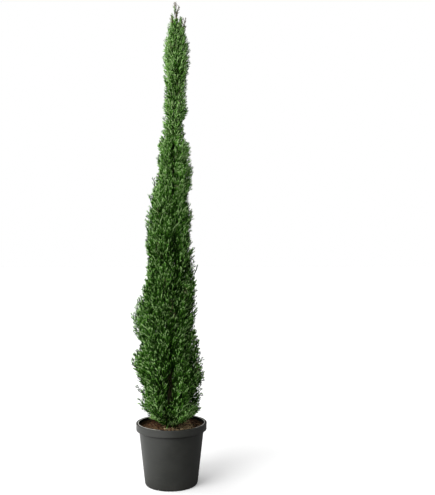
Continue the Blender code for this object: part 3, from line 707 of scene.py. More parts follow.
soil_mesh = make_soil_mesh()
scattered = scatter_tree()
shapes = {
    "crumb": [crumb_mesh(number) for number in range(FORMS)],
    "chip": [crumb_mesh(number + 9, CHIP_FLATNESS) for number in range(FORMS)],
    "fibre": [fibre_mesh(number) for number in range(FORMS)],
    "sliver": [fibre_mesh(number + 20, SLIVER_STOUTNESS) for number in range(FORMS)],
}
shapes = {name: kept_apart(name, meshes) for name, meshes in shapes.items()}
everywhere, litter = ground_under_bits(soil_mesh), ground_under_bits(soil_mesh, *LITTER)
bits = {}
for name, (shape, *numbers) in BITS.items():
    ground = litter if shape == "sliver" else everywhere
    given = dict(zip(("Density", "Smallest", "Largest", "Tumble", "Seed"), numbers))
    given["Material"] = make_flecks(name, *BROWNS[name])
    bits[name] = grown(scattered, ground, Bits=shapes[shape], **given)
for forms in shapes.values():
    clear_away(forms)
piece("peat_fill", soil_mesh, "soil", make_peat(), "soil")
for name, mesh in bits.items():
    piece(name, mesh, "soil", None)


# The trunk: one tapering stem of grey-brown wood that leans with the crown and flares where it meets
# the peat. Its bark is thin and split by long upright fissures, deeper and wider near the ground.
TRUNK_STATIONS = (
    (0.2050, -0.002, 0.0175),
    (0.2081, -0.002, 0.0160),
    (0.2200, -0.002, 0.0127),
    (0.2400, -0.003, 0.0110),
    (0.3200, -0.005, 0.0103),
    (0.4500, -0.008, 0.0097),
    (0.6200, -0.012, 0.0089),
    (0.9000, -0.014, 0.0072),
    (1.0500, -0.006, 0.0063),
    (1.1600, 0.006, 0.0055),
    (1.2900, 0.004, 0.0046),
    (1.4000, 0.010, 0.0037),
    (1.5000, 0.015, 0.0028),
    (1.6000, 0.017, 0.0017),
)
TRUNK_FOOT = TRUNK_STATIONS[0][0]
TRUNK_TIP = TRUNK_STATIONS[-1][0]
TRUNK_SIDES = 30
TRUNK_RING = 0.006  # between rings
SPLITS = (3.4, 13, 0.075)  # in the bark: how many round the trunk and up it, and how deep they are
PLATES = (7.5, 42, 0.05)
ROOT_LOBES = 5
ROOT_LOBE_DEPTH = 0.18
ROOT_LOBE_HEIGHT = 0.020
TOP_X = 0.014
CROWN_TOP = 1.775
SWAY = 0.003
SWAY_TURNS = 4.1
AXIS_STATIONS = TRUNK_STATIONS + ((CROWN_TOP, TOP_X, 0.0),)
OLD_GRAIN = 230  # how fine the mottling of the bark is
OLD_WOOD = ((0.034, 0.031, 0.011, 1), (0.260, 0.220, 0.115, 1), (0.205, 0.190, 0.125, 1))


def axis_point(height):
    """The crown's middle at a height, which the trunk follows."""
    sway = SWAY * math.sin(SWAY_TURNS * (height - SOIL_TOP))
    return Vector((between(AXIS_STATIONS, height), sway, height))


def trunk_radius(height):
    return between(TRUNK_STATIONS, height, 2)


def outward(turn):
    return Vector((math.cos(turn), math.sin(turn), 0))


def fissures(turn, centre):
    """How far the bark stands out, as a share of the radius: long splits, and plates between them."""
    split, plate = [
        noise.noise(outward(turn) * around + Vector((0, 0, centre.z * upward)))
        for around, upward, _ in (SPLITS, PLATES)
    ]
    return 1 + SPLITS[2] * (0.4 - abs(split) * 2.2) + PLATES[2] * plate


def trunk_relief(turn, centre):
    lobes = ROOT_LOBE_DEPTH * max(0, 1 - (centre.z - SOIL_TOP) / ROOT_LOBE_HEIGHT)
    return fissures(turn, centre) * (1 - lobes * (0.5 - 0.5 * math.cos(ROOT_LOBES * turn)))


def make_bark(name, scale, dark, light, grey):
    """Bark in upright strips, greyed in patches."""
    material, tree, shader = new_material(name, Specular_IOR_Level=0.12)
    strips = mottled(tree, scale, dark, light, (0.72, 0.95), (1, 1, 0.16))
    patches = mottled(tree, scale * 0.22, light, grey, (0.7, 0.95))
    fine = mottled(tree, scale * 5, dark, grey, (0.7, 1.0), (1, 1, 0.4))
    greyed = ranged(tree, patches["Height"], 0.45, 1.0, 0, 0.5)
    colour = mix_colours(tree, greyed, strips["Color"], patches["Color"])
    colour = mix_colours(tree, 0.22, colour, fine["Color"])
    deep, shallow = (strips["Height"], 0.8, 0.0010), (fine["Height"], 0.5, 0.0003)
    dress(tree, shader, colour, strips["Roughness"], deep, shallow)
    return material


bark = make_bark("trunk_bark", OLD_GRAIN, *OLD_WOOD)
steps = int((TRUNK_TIP - TRUNK_FOOT) / TRUNK_RING) + 1
rings = [TRUNK_FOOT + TRUNK_RING * step for step in range(steps)] + [TRUNK_TIP]
spine = [axis_point(height) for height in rings]
trunk = tube(spine, [trunk_radius(height) for height in rings], TRUNK_SIDES, trunk_relief)
piece("trunk_wood", mesh_of("trunk_wood", *trunk), "bark", bark, "trunk")


# The boughs: three short low limbs, one for each column of the crown. Each grows out of the trunk's
# foot with a swollen collar and rises to where the lowest foliage of its column begins.
COLUMNS = {
    "left": (-120, 0, (0.296, 0.687, 1.004, 1.38)),
    "right": (0, 120, (0.435, 0.814, 1.158, 1.39)),
    "back": (120, 240, (0.360, 0.750, 1.080, 1.36)),
}
SEAM_TURN = 270
SEAM_TWIST = 25
TWIST_HEIGHT = 0.85
TWIST_SPREAD = 0.25
BOUGH_LENGTH = 0.036
BOUGH_RADII = (0.0042, 0.0030)
BOUGH_RISE = 48
BOUGH_HEIGHTS = {"left": 0.236, "right": 0.242, "back": 0.232}
BOUGH_COLLAR = 0.45  # how much stouter a bough is at its root
BOUGH_SLIMMING = 9  # how soon it is slender
BOUGH_SUNK = 0.06  # how far its root reaches into the trunk, as a share of its length
BOUGH_RINGS = 16
BOUGH_SIDES = 16
UP = Vector((0, 0, 1))


def at(reach, turn, height):
    """The point at a distance from the axis, turned from +X in radians, at a height."""
    return axis_point(height) + reach * outward(turn)


def seam(height):
    """Where the seam between the two front columns runs at a height, in radians."""
    twist = SEAM_TWIST * math.exp(-(((height - TWIST_HEIGHT) / TWIST_SPREAD) ** 2))
    return math.radians(SEAM_TURN + twist)


def bough_ends(column):
    """The middle of a low bough's root, of its tip, and its direction."""
    height = BOUGH_HEIGHTS[column]
    first, last = (math.radians(turn) for turn in COLUMNS[column][:2])
    turn = seam(height) + (first + last) / 2
    direction = swung(math.radians(BOUGH_RISE), outward(turn), UP)
    root = at(trunk_radius(height - BOUGH_RADII[0]), turn, height)
    return root, root + BOUGH_LENGTH * direction, direction


for column in COLUMNS:
    root, tip, direction = bough_ends(column)
    shares = [step / (BOUGH_RINGS - 1) for step in range(BOUGH_RINGS)]
    path = [root.lerp(tip, (1 + BOUGH_SUNK) * share - BOUGH_SUNK) for share in shares]
    radii = []
    for share in shares:
        stouter = 1 + BOUGH_COLLAR * math.exp(-BOUGH_SLIMMING * share)
        radii.append((BOUGH_RADII[0] * (1 - share) + BOUGH_RADII[1] * share) * stouter)
    limb = mesh_of(f"bough_{column}_wood", *tube(path, radii, BOUGH_SIDES, fissures))
    piece(f"bough_{column}_wood", limb, "bark", bark, f"bough_{column}")


# The twigs: in each mass of foliage a stem climbs close to the trunk, and slender olive-brown twigs curve
# up and out from it, forking again under the sprays. The thinnest are no thicker than a match.


def metres(*rows):
    """A table in metres from its rows in millimetres."""
    return [[number / 1000 for number in row] for row in rows]


# The crown's outline: height, and how far it reaches from its middle to the left and to the right
CROWN = metres(
    (218, 55, 68), (258, 76, 96), (298, 112, 106), (348, 107, 112), (393, 104, 124), (433, 128, 112),
    (498, 122, 100), (520, 107, 107), (586, 120, 83), (630, 130, 92), (675, 104, 103), (764, 81, 97),
    (785, 80, 93), (808, 69, 87), (834, 66, 92), (860, 76, 90), (897, 88, 87), (920, 83, 79),
    (986, 79, 82), (1073, 67, 70), (1118, 54, 68), (1144, 50, 68), (1170, 49, 64), (1207, 54, 60),
    (1251, 50, 61), (1273, 43, 39), (1340, 34, 33), (1384, 37, 45), (1456, 30, 36), (1516, 46, 43),
    (1605, 45, 44), (1650, 36, 36), (1694, 25, 27), (1738, 9, 15), (1775, 0.5, 0.5),
)
FURROW_DEPTH = 0.20  # as a share of the crown's reach
FURROW_WIDTH = 14  # degrees
WAVES = (0.05, 9, 2)  # of the crown's front and back: how deep, and how many up it and round it
# Height, and how many degrees from upright the sprays lean there
LEAN = (
    *((0.21, 104), (0.25, 76), (0.30, 48), (0.45, 37), (0.80, 33)),
    *((1.20, 36), (1.66, 38), (1.73, 20), (1.775, 4)),
)
# Height, and how long the sprays are there
SPRAY_LENGTH = (
    *((0.21, 0.042), (0.30, 0.058), (0.50, 0.070), (1.00, 0.062)),
    *((1.25, 0.042), (1.66, 0.036), (1.775, 0.042)),
)
TIER_SLOPE = 1.7
SKIRT = (0.2105, 0.55)
CROWN_CAP = (1.606, 3.0)
STEM_RADII = (0.0030, 0.0015)
STEM_START = 0.020
STEM_BEND = 0.34
STEM_RISE = 0.034
STEM_ROOT = 0.6  # where in the trunk it starts, as a share of the trunk's radius
STEM_REACH = 0.40
STEM_SIDES = 8
STEM_STEPS = 6  # between two points of its path
STEM_POINTS = (0.4, 0.7, 0.92)
TOP_STEM = (1.600, 1.65, 1.70, 1.73)
TOP_STEM_RADII = (0.0015, 0.0006)
SEED = 5
BRANCHES = 700
GOLDEN = 0.6180340
SPARE_GIRTH = 0.010  # gives the thin top more twigs
CLOSER = 1.2  # how much closer the twigs are where the sprays are short
LOWEST_TIP = 0.2300
HIGHEST_TIP = 1.715
STRAYS = (-0.013, -0.006, -0.001, 0.003, 0.007)  # how far a twig's sprays stand out or back, in metres
# Height, how much more the sprays stand out or back at the front and back and at the sides, and how far
# all those at the sides stand back, in metres
RAGGED = (
    (0.24, 1.6, 2.8, 0.006),
    (0.30, 1.6, 2.2, 0.006),
    (0.39, 1.5, 2.0, 0.008),
    (0.46, 1.5, 1.8, 0.003),
    (0.50, 1.5, 1.7, 0),
    (0.70, 1.0, 1.0, 0),
    (1.20, 1.0, 1.0, 0),
    (1.30, 1.25, 1.25, 0),
)
LEAN_CHANCE = 9
UPRIGHT = 0.45  # how much less the sprays lean at the front and back than at the sides
ASIDE_CHANCE = 0.30
TWIG_DROP = 0.012
TWIG_BEND = 0.45  # from its end back to where it bends, as a share of its length
TWIG_POINTS = 6
TWIG_RADII = (0.0017, 0.0009)
TWIG_SIDES = 4
TWIGLET_RADIUS = 0.0006
TWIGLET_SIDES = 3
TWIGLET_RING = 0.6  # where along it its middle ring is
DRAWN_IN = 0.35  # how near its fork a spray's foot is drawn
TONES = (0.20, 0.25)  # how much the tones of twigs differ, and of the sprays on one twig
LENGTHS = ((0.88, 1.12), (0.80, 1.05))  # of a twig's first spray, and of the others beside it
DROPS = (0.7, 1.3)  # of the other sprays, as shares of what the table below says
ROLL = 1.5  # how far a spray is rolled on its length at most, in radians
SPRAY_BODY = 0.6  # where along a spray its body is
LEAST_REACH = 0.004  # of a spray's tip from the crown's middle
LEAST_GIRTH = 0.012  # for reckoning turns in the thin top
TIP_BELOW_TOP = 0.002
# The open strip down the front, where the wood shows: height, its middle beside the seam, half its width
FURROW_GAP = metres(
    (205, 0, 6), (262, -18, 6), (292, -18, 7), (314, -4, 8), (330, 1, 11),
    (425, 1, 12), (440, 3, 3), (800, 0, 3), (1200, 0, 2), (1250, 0, 0),
)
# Sprigs that stand clear of the crown or hang over its open strip, in millimetres: the X, Y and Z where
# each starts, and those of its tip
SPRIGS = metres(
    (15, 0, 1735, 12, -2, 1775), (15, -4, 1730, 9.5, -8, 1758), (17, -2, 1727, 29, -4, 1757),
    (12, 2, 1705, 1, 4, 1736), (16, 4, 1700, 20, 10, 1742), (17, -6, 1702, 18, -10, 1738),
    (28, 0, 1680, 35.5, 0, 1709), (17.5, -2, 1750, 16, -4, 1771), (23, -4, 1738, 27, -6, 1761),
    (18, 4, 1713, 22, 6, 1739), (13, 0, 1720, 9.5, 0, 1746), (8, -4, 1701, 3, -6, 1724),
    (24, -4, 1694, 33.5, -6, 1720), (40, -10, 1655, 51, -12, 1713), (26, -12, 1628, 42, -14, 1678),
    (-60, -10, 1072, -69, -12, 1124), (-68, -12, 1012, -85, -14, 1062), (80, -12, 760, 96, -16, 804),
    (-110, -20, 416, -143, -24, 448), (-96, -20, 330, -129, -24, 364), (76, -20, 356, 118, -24, 386),
    (77, -20, 426, 114.5, -24, 464), (80, -20, 296, 113, -24, 331), (64, -20, 258, 106, -24, 278),
    (-4, -26, 284, -15, -34, 211), (4, -40, 310, -4, -52, 250), (-2, -34, 296, -6, -44, 232),
    (6, -50, 268, -6, -60, 318), (-30, -50, 285, -42, -64, 243), (0, -60, 420, 6, -76, 472),
    (-11, -50, 262, -20, -66, 316), (-10, -50, 252, -13.5, -70, 298),
)
BRONZED_ABOVE = 1.68
TIP_SPRIG = (0.28, 0)  # how stout its twig is beside the others, and how much lighter its spray
LOW_SPRIG = (1, -0.8)
SPRIG_DEPTH = -0.03
SPRIG_ROLL = 0.4  # from one sprig to the next, in radians
YOUNG_GRAIN = 700
YOUNG_WOOD = ((0.012, 0.017, 0.004, 1), (0.046, 0.058, 0.016, 1), (0.070, 0.068, 0.026, 1))
TIP_WOOD = ((0.060, 0.045, 0.026, 1), (0.170, 0.130, 0.080, 1), (0.230, 0.200, 0.140, 1))
SEAM_SHADE = (0.8, 12)  # how many tones darker the sprays are in the furrow, and its width in degrees
# The sprays on one twig: how far along the twig each forks off, how far round the crown and down from
# the first one's tip it reaches in metres, and how far out as a share of the crown's reach there
SPRAYS = (
    (1.00, 0.000, 0.000, 1.00),
    (0.90, -0.017, 0.010, 0.99),
    (0.80, 0.018, 0.016, 0.97),
    (0.72, -0.006, 0.028, 0.93),
    (0.95, 0.009, -0.014, 0.98),
    (0.62, 0.024, -0.006, 0.90),
    (0.50, -0.012, 0.022, 0.62),
    (0.40, 0.010, 0.030, 0.45),
)


def from_seam(turn, height):
    """How many degrees round the crown a turn is from the seam."""
    return math.degrees(math.remainder(turn - seam(height), math.tau))


def in_trough(degrees, width):
    """1 in the middle of a trough, less and less beside it."""
    return math.exp(-((degrees / width) ** 2))


def crown_reach(turn, height):
    """How far the crown reaches: its left and right outlines, blended round the front and back."""
    left, right = between(CROWN, height, 1), between(CROWN, height, 2)
    side = right if math.cos(turn) > 0 else left
    depth, upward, around = WAVES
    middle = (left + right) / 2 * (1 + depth * math.sin(upward * height + around * turn))
    reach = middle + (side - middle) * math.cos(turn) ** 2
    return reach * (1 - FURROW_DEPTH * in_trough(from_seam(turn, height), FURROW_WIDTH))


def floors(column):
    """The cones that part a column's masses, from its skirt to the crown's cap: height and slope."""
    return [SKIRT, *((height, TIER_SLOPE) for height in COLUMNS[column][2]), CROWN_CAP]


def mass_at(point):
    """The name of the mass whose space holds a point."""
    offset = point - axis_point(point.z)
    reach, turn = math.hypot(offset.x, offset.y), math.atan2(offset.y, offset.x)
    if point.z > CROWN_CAP[0] + CROWN_CAP[1] * reach:
        return "top"
    aside = from_seam(turn, point.z)
    column = "left" if -120 <= aside < 0 else "right" if 0 <= aside < 120 else "back"
    passed = [floor for floor, slope in floors(column)[1:-1] if point.z > floor + slope * reach]
    return f"{column}_{len(passed) + 1}"


def stem_path(column, tier):
    """The middle of a mass's stem, from the trunk or its bough up through the foliage."""
    floor, ceiling = floors(column)[tier], floors(column)[tier + 1]
    middle = math.radians(sum(COLUMNS[column][:2]) / 2)
    if tier == 0:
        _, tip, direction = bough_ends(column)
        path = [tip, tip + STEM_START * direction]
    else:
        low = floor[0] + floor[1] * trunk_radius(floor[0]) + STEM_START
        turn = seam(low) + middle
        bend = STEM_BEND * crown_reach(turn, low)
        start = at(trunk_radius(low) * STEM_ROOT, turn, low)
        path = [start, at(bend, turn, floor[0] + floor[1] * bend + STEM_RISE)]
    bottom = path[-1].z
    for share in STEM_POINTS:
        height = bottom + share * (ceiling[0] - bottom)
        turn = seam(height) + middle
        path.append(at(STEM_REACH * crown_reach(turn, height), turn, height))
    return path


def curved(path):
    """A path through the same points, with bends between them."""
    smooth, last = [], len(path) - 1
    for index in range(last):
        a, b, c, d = (path[near] for near in (max(index - 1, 0), index, index + 1, min(index + 2, last)))
        square, cube = 2 * a - 5 * b + 4 * c - d, 3 * b - a - 3 * c + d
        for step in range(STEM_STEPS):
            t = step / STEM_STEPS
            smooth.append(0.5 * (2 * b + t * (c - a) + t * t * square + t**3 * cube))
    return smooth + [path[-1]]


def joined(solids):
    """Points and faces of many solids as one list of each."""
    points, faces = [], []
    for more_points, more_faces in solids:
        first = len(points)
        points += more_points
        faces += [tuple(first + corner for corner in face) for face in more_faces]
    return points, faces


def in_furrow(spot):
    """Whether a point lies in the open strip between the two front columns."""
    offset = spot - axis_point(spot.z)
    ahead = outward(seam(spot.z))
    aside = ahead.x * offset.y - ahead.y * offset.x
    middle, half = between(FURROW_GAP, spot.z), between(FURROW_GAP, spot.z, 2)
    return offset.dot(ahead) > 0 and abs(aside - middle) < half


def branch_targets():
    """Points spread evenly over the crown, as a turn and a height, where the twigs reach to."""
    steps = 400
    heights = [LOWEST_TIP + (HIGHEST_TIP - LOWEST_TIP) * step / steps for step in range(steps + 1)]
    girths = [SPARE_GIRTH + (between(CROWN, height, 1) + between(CROWN, height, 2)) / 2 for height in heights]
    needs = [girth / between(SPRAY_LENGTH, height) ** CLOSER for girth, height in zip(girths, heights)]
    area = np.concatenate(([0], np.cumsum(needs)))
    for number in range(BRANCHES):
        place = np.searchsorted(area, area[-1] * (number + 0.5) / BRANCHES) - 1
        yield math.tau * (number * GOLDEN % 1), heights[place]


def lean_direction(turn, height, chance):
    lean = math.radians(between(LEAN, height) + chance.uniform(-LEAN_CHANCE, LEAN_CHANCE))
    lean *= 1 - UPRIGHT * math.sin(turn) ** 2
    aside = turn + chance.uniform(-ASIDE_CHANCE, ASIDE_CHANCE)
    return swung(lean, UP, outward(aside))


def twig_path(stem, end, direction):
    """A curve from the stem, leaving it below the twig's end, to that end in the spray's direction."""
    spots = [spot for spot in stem if spot.z < end.z - TWIG_DROP] or stem[:1]
    start = min(spots, key=lambda spot: (spot - end).length)
    bend = end - TWIG_BEND * (end - start).length * direction
    return [bent(start, bend, end, step / (TWIG_POINTS - 1)) for step in range(TWIG_POINTS)]


def along_path(path, share):
    spot = share * (len(path) - 1)
    index = min(int(spot), len(path) - 2)
    return path[index].lerp(path[index + 1], spot - index)


stems, wood = {}, {}


def grow_stem(mass, path, first_radius, last_radius):
    """Adds a mass's stem, which is the first of its wood."""
    stems[mass] = curved(path)
    radii = np.linspace(first_radius, last_radius, len(stems[mass]))
    wood[mass] = [tube(stems[mass], radii, STEM_SIDES, fissures)]


grow_stem("top", [axis_point(height) for height in TOP_STEM], *TOP_STEM_RADII)
for column in COLUMNS:
    for tier in range(len(COLUMNS[column][2]) + 1):
        thickest = STEM_RADII[0] if tier else BOUGH_RADII[1]
        grow_stem(f"{column}_{tier + 1}", stem_path(column, tier), thickest, STEM_RADII[1])

sprays = {name: [] for name in stems}
for number, (turn, height) in enumerate(branch_targets()):
    chance = random.Random(f"{SEED} {number}")
    front, side, back = (between(RAGGED, height, column) for column in (1, 2, 3))
    sideways = math.cos(turn) ** 2
    stray = chance.choice(STRAYS) * (front + (side - front) * sideways) - back * sideways
    tone = chance.gauss(0, TONES[0])
    tip = at(crown_reach(turn, height) + stray, turn, height)
    mass = mass_at(tip)
    direction = lean_direction(turn, height, chance)
    length = between(SPRAY_LENGTH, height) * chance.uniform(*LENGTHS[0])
    twig = twig_path(stems[mass], tip - length * direction, direction)
    wood[mass].append(tube(twig, np.linspace(*TWIG_RADII, len(twig)), TWIG_SIDES))
    for share, round_crown, down, out in SPRAYS:
        side_turn = turn + round_crown / max(crown_reach(turn, height), LEAST_GIRTH)
        side_height = max(height - down * chance.uniform(*DROPS), LOWEST_TIP)
        side_height = min(side_height, CROWN_TOP - TIP_BELOW_TOP)
        full_reach = crown_reach(side_turn, side_height)
        reach = max(LEAST_REACH, out * full_reach + stray * out)
        side_height = max(side_height, SKIRT[0] + SKIRT[1] * reach)
        side_tip = at(reach, side_turn, side_height)
        side_direction = lean_direction(side_turn, side_height, chance) if share < 1 else direction
        side_length = length * chance.uniform(*LENGTHS[1])
        root = side_tip - side_length * side_direction
        if in_furrow(side_tip) or in_furrow(root.lerp(side_tip, SPRAY_BODY)):
            continue
        if share < 1:
            fork = along_path(twig, share)
            root = root.lerp(fork, DRAWN_IN)
            twiglet = [fork, fork.lerp(root, TWIGLET_RING), root]
            wood[mass].append(tube(twiglet, [TWIGLET_RADIUS] * len(twiglet), TWIGLET_SIDES))
        depth = 1 - reach / full_reach
        shade = SEAM_SHADE[0] * in_trough(from_seam(side_turn, side_height), SEAM_SHADE[1])
        roll = chance.uniform(-ROLL, ROLL)
        sprays[mass].append((root, side_tip, roll, tone + chance.gauss(0, TONES[1]) - shade, depth))

for number, places in enumerate(SPRIGS):
    root, tip = Vector(places[:3]), Vector(places[3:])
    mass = mass_at(root)
    twig = twig_path(stems[mass], root, (tip - root).normalized())
    stoutness, light = TIP_SPRIG if tip.z > BRONZED_ABOVE else LOW_SPRIG
    radii = stoutness * np.linspace(*TWIG_RADII, len(twig) + 1)
    wood[mass].append(tube(twig + [root.lerp(tip, 0.5)], radii, TWIG_SIDES))
    sprays[mass].append((root, tip, SPRIG_ROLL * number, light, SPRIG_DEPTH))

twig_bark = make_bark("twig_bark", YOUNG_GRAIN, *YOUNG_WOOD)
tip_bark = make_bark("tip_bark", YOUNG_GRAIN, *TIP_WOOD)
for mass, solids in wood.items():
    young = tip_bark if mass == "top" else twig_bark
    piece(f"twigs_{mass}", mesh_of(f"twigs_{mass}", *joined(solids)), "bark", young, f"foliage_{mass}")


# The leaves: flattened sprays of slender green cords, each cord a shoot clothed in tiny scale leaves.
# Shoots fork from a spray's axis, and many of them fork again. Their colour is one of a few greens, dealt
# out spray by spray, with lighter ends. Some ends are bronzed, most of all high in the crown. The greens
# also carry painted shade deep in the crown and in its furrow, and painted light that changes with height
# and is added at the crown's right edge.
# The kinds of spray: how many forms there are of each, how many shoots they have, half a shoot's thickness
# for a spray of unit length, how long their shoots are, and how many degrees they spread
SPRAY_KINDS = {
    "long": (6, 13, 0.0170, 1.12, 29),
    "short": (5, 8, 0.0300, 1.50, 27),
    "long_stray": (3, 9, 0.0250, 1.20, 30),
    "short_stray": (3, 6, 0.0350, 1.40, 28),
}
SHORT = 0.052  # below this length a spray is of the short kind
AXIS_RINGS = (0, 0.35, 0.7, 1)
AXIS_CORD = (0.5, 0.7, 0.6, 0.15)  # how thick a spray's axis is at each ring, beside its shoots
AXIS_LEAN = 0.10  # how far the axis may bend along X, and along Y
AXIS_BOW = 0.06
FIRST_SHOOT = 0.06  # how far along the axis the lowest shoot starts
SHOOTED = 0.90  # over how much of the axis the others do
SHOOT_LENGTHS = (0.13, 0.28)  # of the highest, and what the lowest has beyond that
HIGHEST_END = 1.04
CLOSING = 0.3  # how much less the highest shoots spread
SPREAD_CHANCE = 8  # degrees
OUT_OF_PLANE = 0.9  # how far round the axis from the spray's plane a shoot may be, in radians
SHOOT_CHANCE = (0.75, 1.25)  # by which a shoot is shorter or longer
SHOOT_RINGS = (0.15, 0.72)  # where along it a shoot is thickest
FOOT_TONE = -0.9
LIGHTER_UP = 1.4  # tones from a spray's foot to its tip
LIFTS = (-2, -2, -1, -1, 0, 0, 1, 1, 2, 3)  # by how many tones shoots differ, one of these by chance
TIP_LIFTS = (1, 1, 2)  # and by how many more at their ends
FORKED = 0.65  # the share of shoots that fork
FORK_ANGLES = (14, 26)  # degrees
FORK_FROM = (0.20, 0.55)  # where along its shoot a fork starts
FORK_LENGTHS = (0.7, 1.1)  # of half its shoot's length
FORK_TWIST = 0.5  # how far out of its shoot's plane it may lean
FORK_CORD = 0.85  # how thick it is beside its shoot
FORK_RING = 0.6
GREENS = {
    "Shaded": (0.009, 0.032, 0.0025, 1),
    "Dark": (0.021, 0.070, 0.006, 1),
    "Middle": (0.060, 0.186, 0.018, 1),
    "Fresh": (0.158, 0.378, 0.060, 1),
    "Pale": (0.400, 0.640, 0.240, 1),
}
BRONZE = (0.165, 0.130, 0.082, 1)
STANDS_OUT = -0.02
DEEP_SHADE = 7  # how much darker a spray is with its depth in the crown
TIP_SHADE = 1.5  # and among the loose tips
STRAY_DEPTH = 0.3  # deeper in the crown than this share of its reach, the sprays are of the stray kind
STRAY_BELOW = 1.2
STRAY_ABOVE = 0.25  # as a share of the way from where the bronzed tips begin to the crown's top
WHOLLY_BRONZED = 0.2  # sprays are wholly bronzed as often as that share is over this
BRONZED_STRAYS = 0.03  # the share of bronzed sprays among those that stand out, and among the others
BRONZED_WITHIN = 0.01
# Height, how light the sprays are there, partly their own tone and partly painted light, and how much
# more painted light they get at the crown's right edge, where shade falls
SUNNY = (
    (0.21, 4.0, 0.4),
    (0.27, 3.15, 0.4),
    (0.35, 2.10, 0.4),
    (0.90, 2.30, 0.1),
    (1.20, 3.30, 0.6),
    (1.775, 4.3, 0.8),
)


def shoot(start, end, radius, *rings):
    """A slender three-sided cord, pointed at both ends, with a ring at each share of its length."""
    along = (end - start).normalized()
    sideways = along.cross(Vector((0.3, 1, 0.2))).normalized()
    other = along.cross(sideways)
    points = [start]
    for share in rings:
        for side in range(3):
            turn = math.tau * side / 3
            points.append(start.lerp(end, share) + radius * swung(turn, sideways, other))
    points.append(end)
    last = len(points) - 1
    faces = [(1 + (side + 1) % 3, 1 + side, 0) for side in range(3)]
    faces += ring_faces(1, len(rings), 3)
    faces += [(last - 3 + side, last - 3 + (side + 1) % 3, last) for side in range(3)]
    return points, faces


def spray_form(number, shoots, cord, stretch, spread):
    """A spray of unit length up the Z axis, spread along X. Its faces say how light they are."""
    chance = random.Random(f"form {number}")
    solids, lifts, ends = [], [], []

    def add(solid, lift, tip_lift):
        solids.append(solid)
        lifts.extend([lift] * (len(solid[1]) - 3) + [tip_lift] * 3)
        ends.extend([0] * (len(solid[1]) - 3) + [1] * 3)

    lean, bow = chance.uniform(-AXIS_LEAN, AXIS_LEAN), chance.uniform(-AXIS_BOW, AXIS_BOW)
    axis = [Vector((lean * s * (1 - s) * 2, bow * s * (1 - s) * 3, s)) for s in AXIS_RINGS]
    add(tube(axis, [cord * share for share in AXIS_CORD], 3), -1, -1)
    for index in range(shoots):
        share = FIRST_SHOOT + SHOOTED * index / (shoots - 1)
        side = 1 if index % 2 else -1
        angle = math.radians(spread + chance.uniform(-SPREAD_CHANCE, SPREAD_CHANCE)) * (1 - CLOSING * share)
        around = chance.uniform(-OUT_OF_PLANE, OUT_OF_PLANE)
        across = Vector((side * math.cos(around), math.sin(around), 0))
        direction = swung(angle, UP, across)
        length = stretch * (SHOOT_LENGTHS[0] + SHOOT_LENGTHS[1] * (1 - share) ** 0.6)
        length *= chance.uniform(*SHOOT_CHANCE)
        start = along_path(axis, share)
        end = start + length * direction
        end.z = min(end.z, HIGHEST_END)
        lift = round(LIGHTER_UP * share + FOOT_TONE + chance.choice(LIFTS))
        add(shoot(start, end, cord, *SHOOT_RINGS), lift, lift + chance.choice(TIP_LIFTS))
        if chance.random() > FORKED:
            continue
        flat = direction.cross(across).normalized()
        way = chance.choice((-1, 1))
        turn = math.radians(chance.uniform(*FORK_ANGLES))
        level = flat.cross(direction)
        twist = chance.uniform(-FORK_TWIST, FORK_TWIST)
        aside = math.cos(turn) * direction + way * math.sin(turn) * (level + twist * flat)
        foot = start.lerp(end, chance.uniform(*FORK_FROM))
        reach = 0.5 * length * chance.uniform(*FORK_LENGTHS)
        add(shoot(foot, foot + reach * aside.normalized(), cord * FORK_CORD, FORK_RING), lift, lift)
    mesh = mesh_of("spray", *joined(solids))
    for name, values in (("lift", lifts), ("at_end", ends)):
        mesh.attributes.new(name, "INT", "FACE").data.foreach_set("value", values)
    return mesh


def leaf_tree():
    """A tree that puts a spray on every point and gives each of its faces a green or bronze."""
    inputs = {"Points": "Geometry", "Sprays": "Collection"}
    inputs.update({name: "Material" for name in (*GREENS, "Bronze")})
    tree, given, made = new_group("leafy", "GeometryNodeTree", inputs, {"Leaves": "Geometry"})

    def named(label, kind="INT"):
        read = node(tree, "GeometryNodeInputNamedAttribute", {"Name": label}, data_type=kind)
        return in_use(read.outputs, "Attribute")[0]

    placing = {"Points": given["Points"], "Instance": forms_of(tree, given["Sprays"]), "Pick Instance": True}
    placing.update({"Instance Index": named("form"), "Rotation": named("turned", "QUATERNION")})
    placed = node(tree, "GeometryNodeInstanceOnPoints", {**placing, "Scale": named("size", "FLOAT")})
    leaves = node(tree, "GeometryNodeRealizeInstances", {0: placed.outputs[0]}).outputs[0]
    tone = reckoned(tree, "ADD", named("tone"), named("lift"))
    bronzed = reckoned(tree, "ADD", named("bronzed"), named("at_end"))
    dealt = [(name, tone, number - 0.5) for number, name in enumerate(GREENS)]
    dealt[0] = (*dealt[0][:2], -99)  # the darkest is for all that the others leave
    for name, value, least in (*dealt, ("Bronze", bronzed, 1.5)):
        reached = node(tree, "FunctionNodeCompare", {0: value, 1: least}, operation="GREATER_THAN").outputs[0]
        chosen = {"Geometry": leaves, "Selection": reached, "Material": given[name]}
        leaves = node(tree, "GeometryNodeSetMaterial", chosen).outputs[0]
    tree.links.new(leaves, made["Leaves"])
    return tree


def make_leaf(name, colour):
    """Scale leaves: one plain green, with the gloss and the relief of the scales from nodes."""
    material, tree, shader = new_material(name, Base_Color=colour, Specular_IOR_Level=0.05)
    scales = mottled(tree, 900, colour, colour, (0.55, 0.80))
    dress(tree, shader, None, scales["Roughness"], (scales["Height"], 0.6, 0.0004))
    return material


def turned_to(root, tip, roll):
    """The turn that lays a form's length from a root to a tip, rolled on that length."""
    along = (tip - root).normalized()
    a_hair = Vector((0.00001, 0, 0))  # for a spray that stands upright
    level = (along.cross(UP) + a_hair).normalized()
    across = swung(roll, level, level.cross(along))
    return Matrix((across, along.cross(across), along)).transposed().to_quaternion()


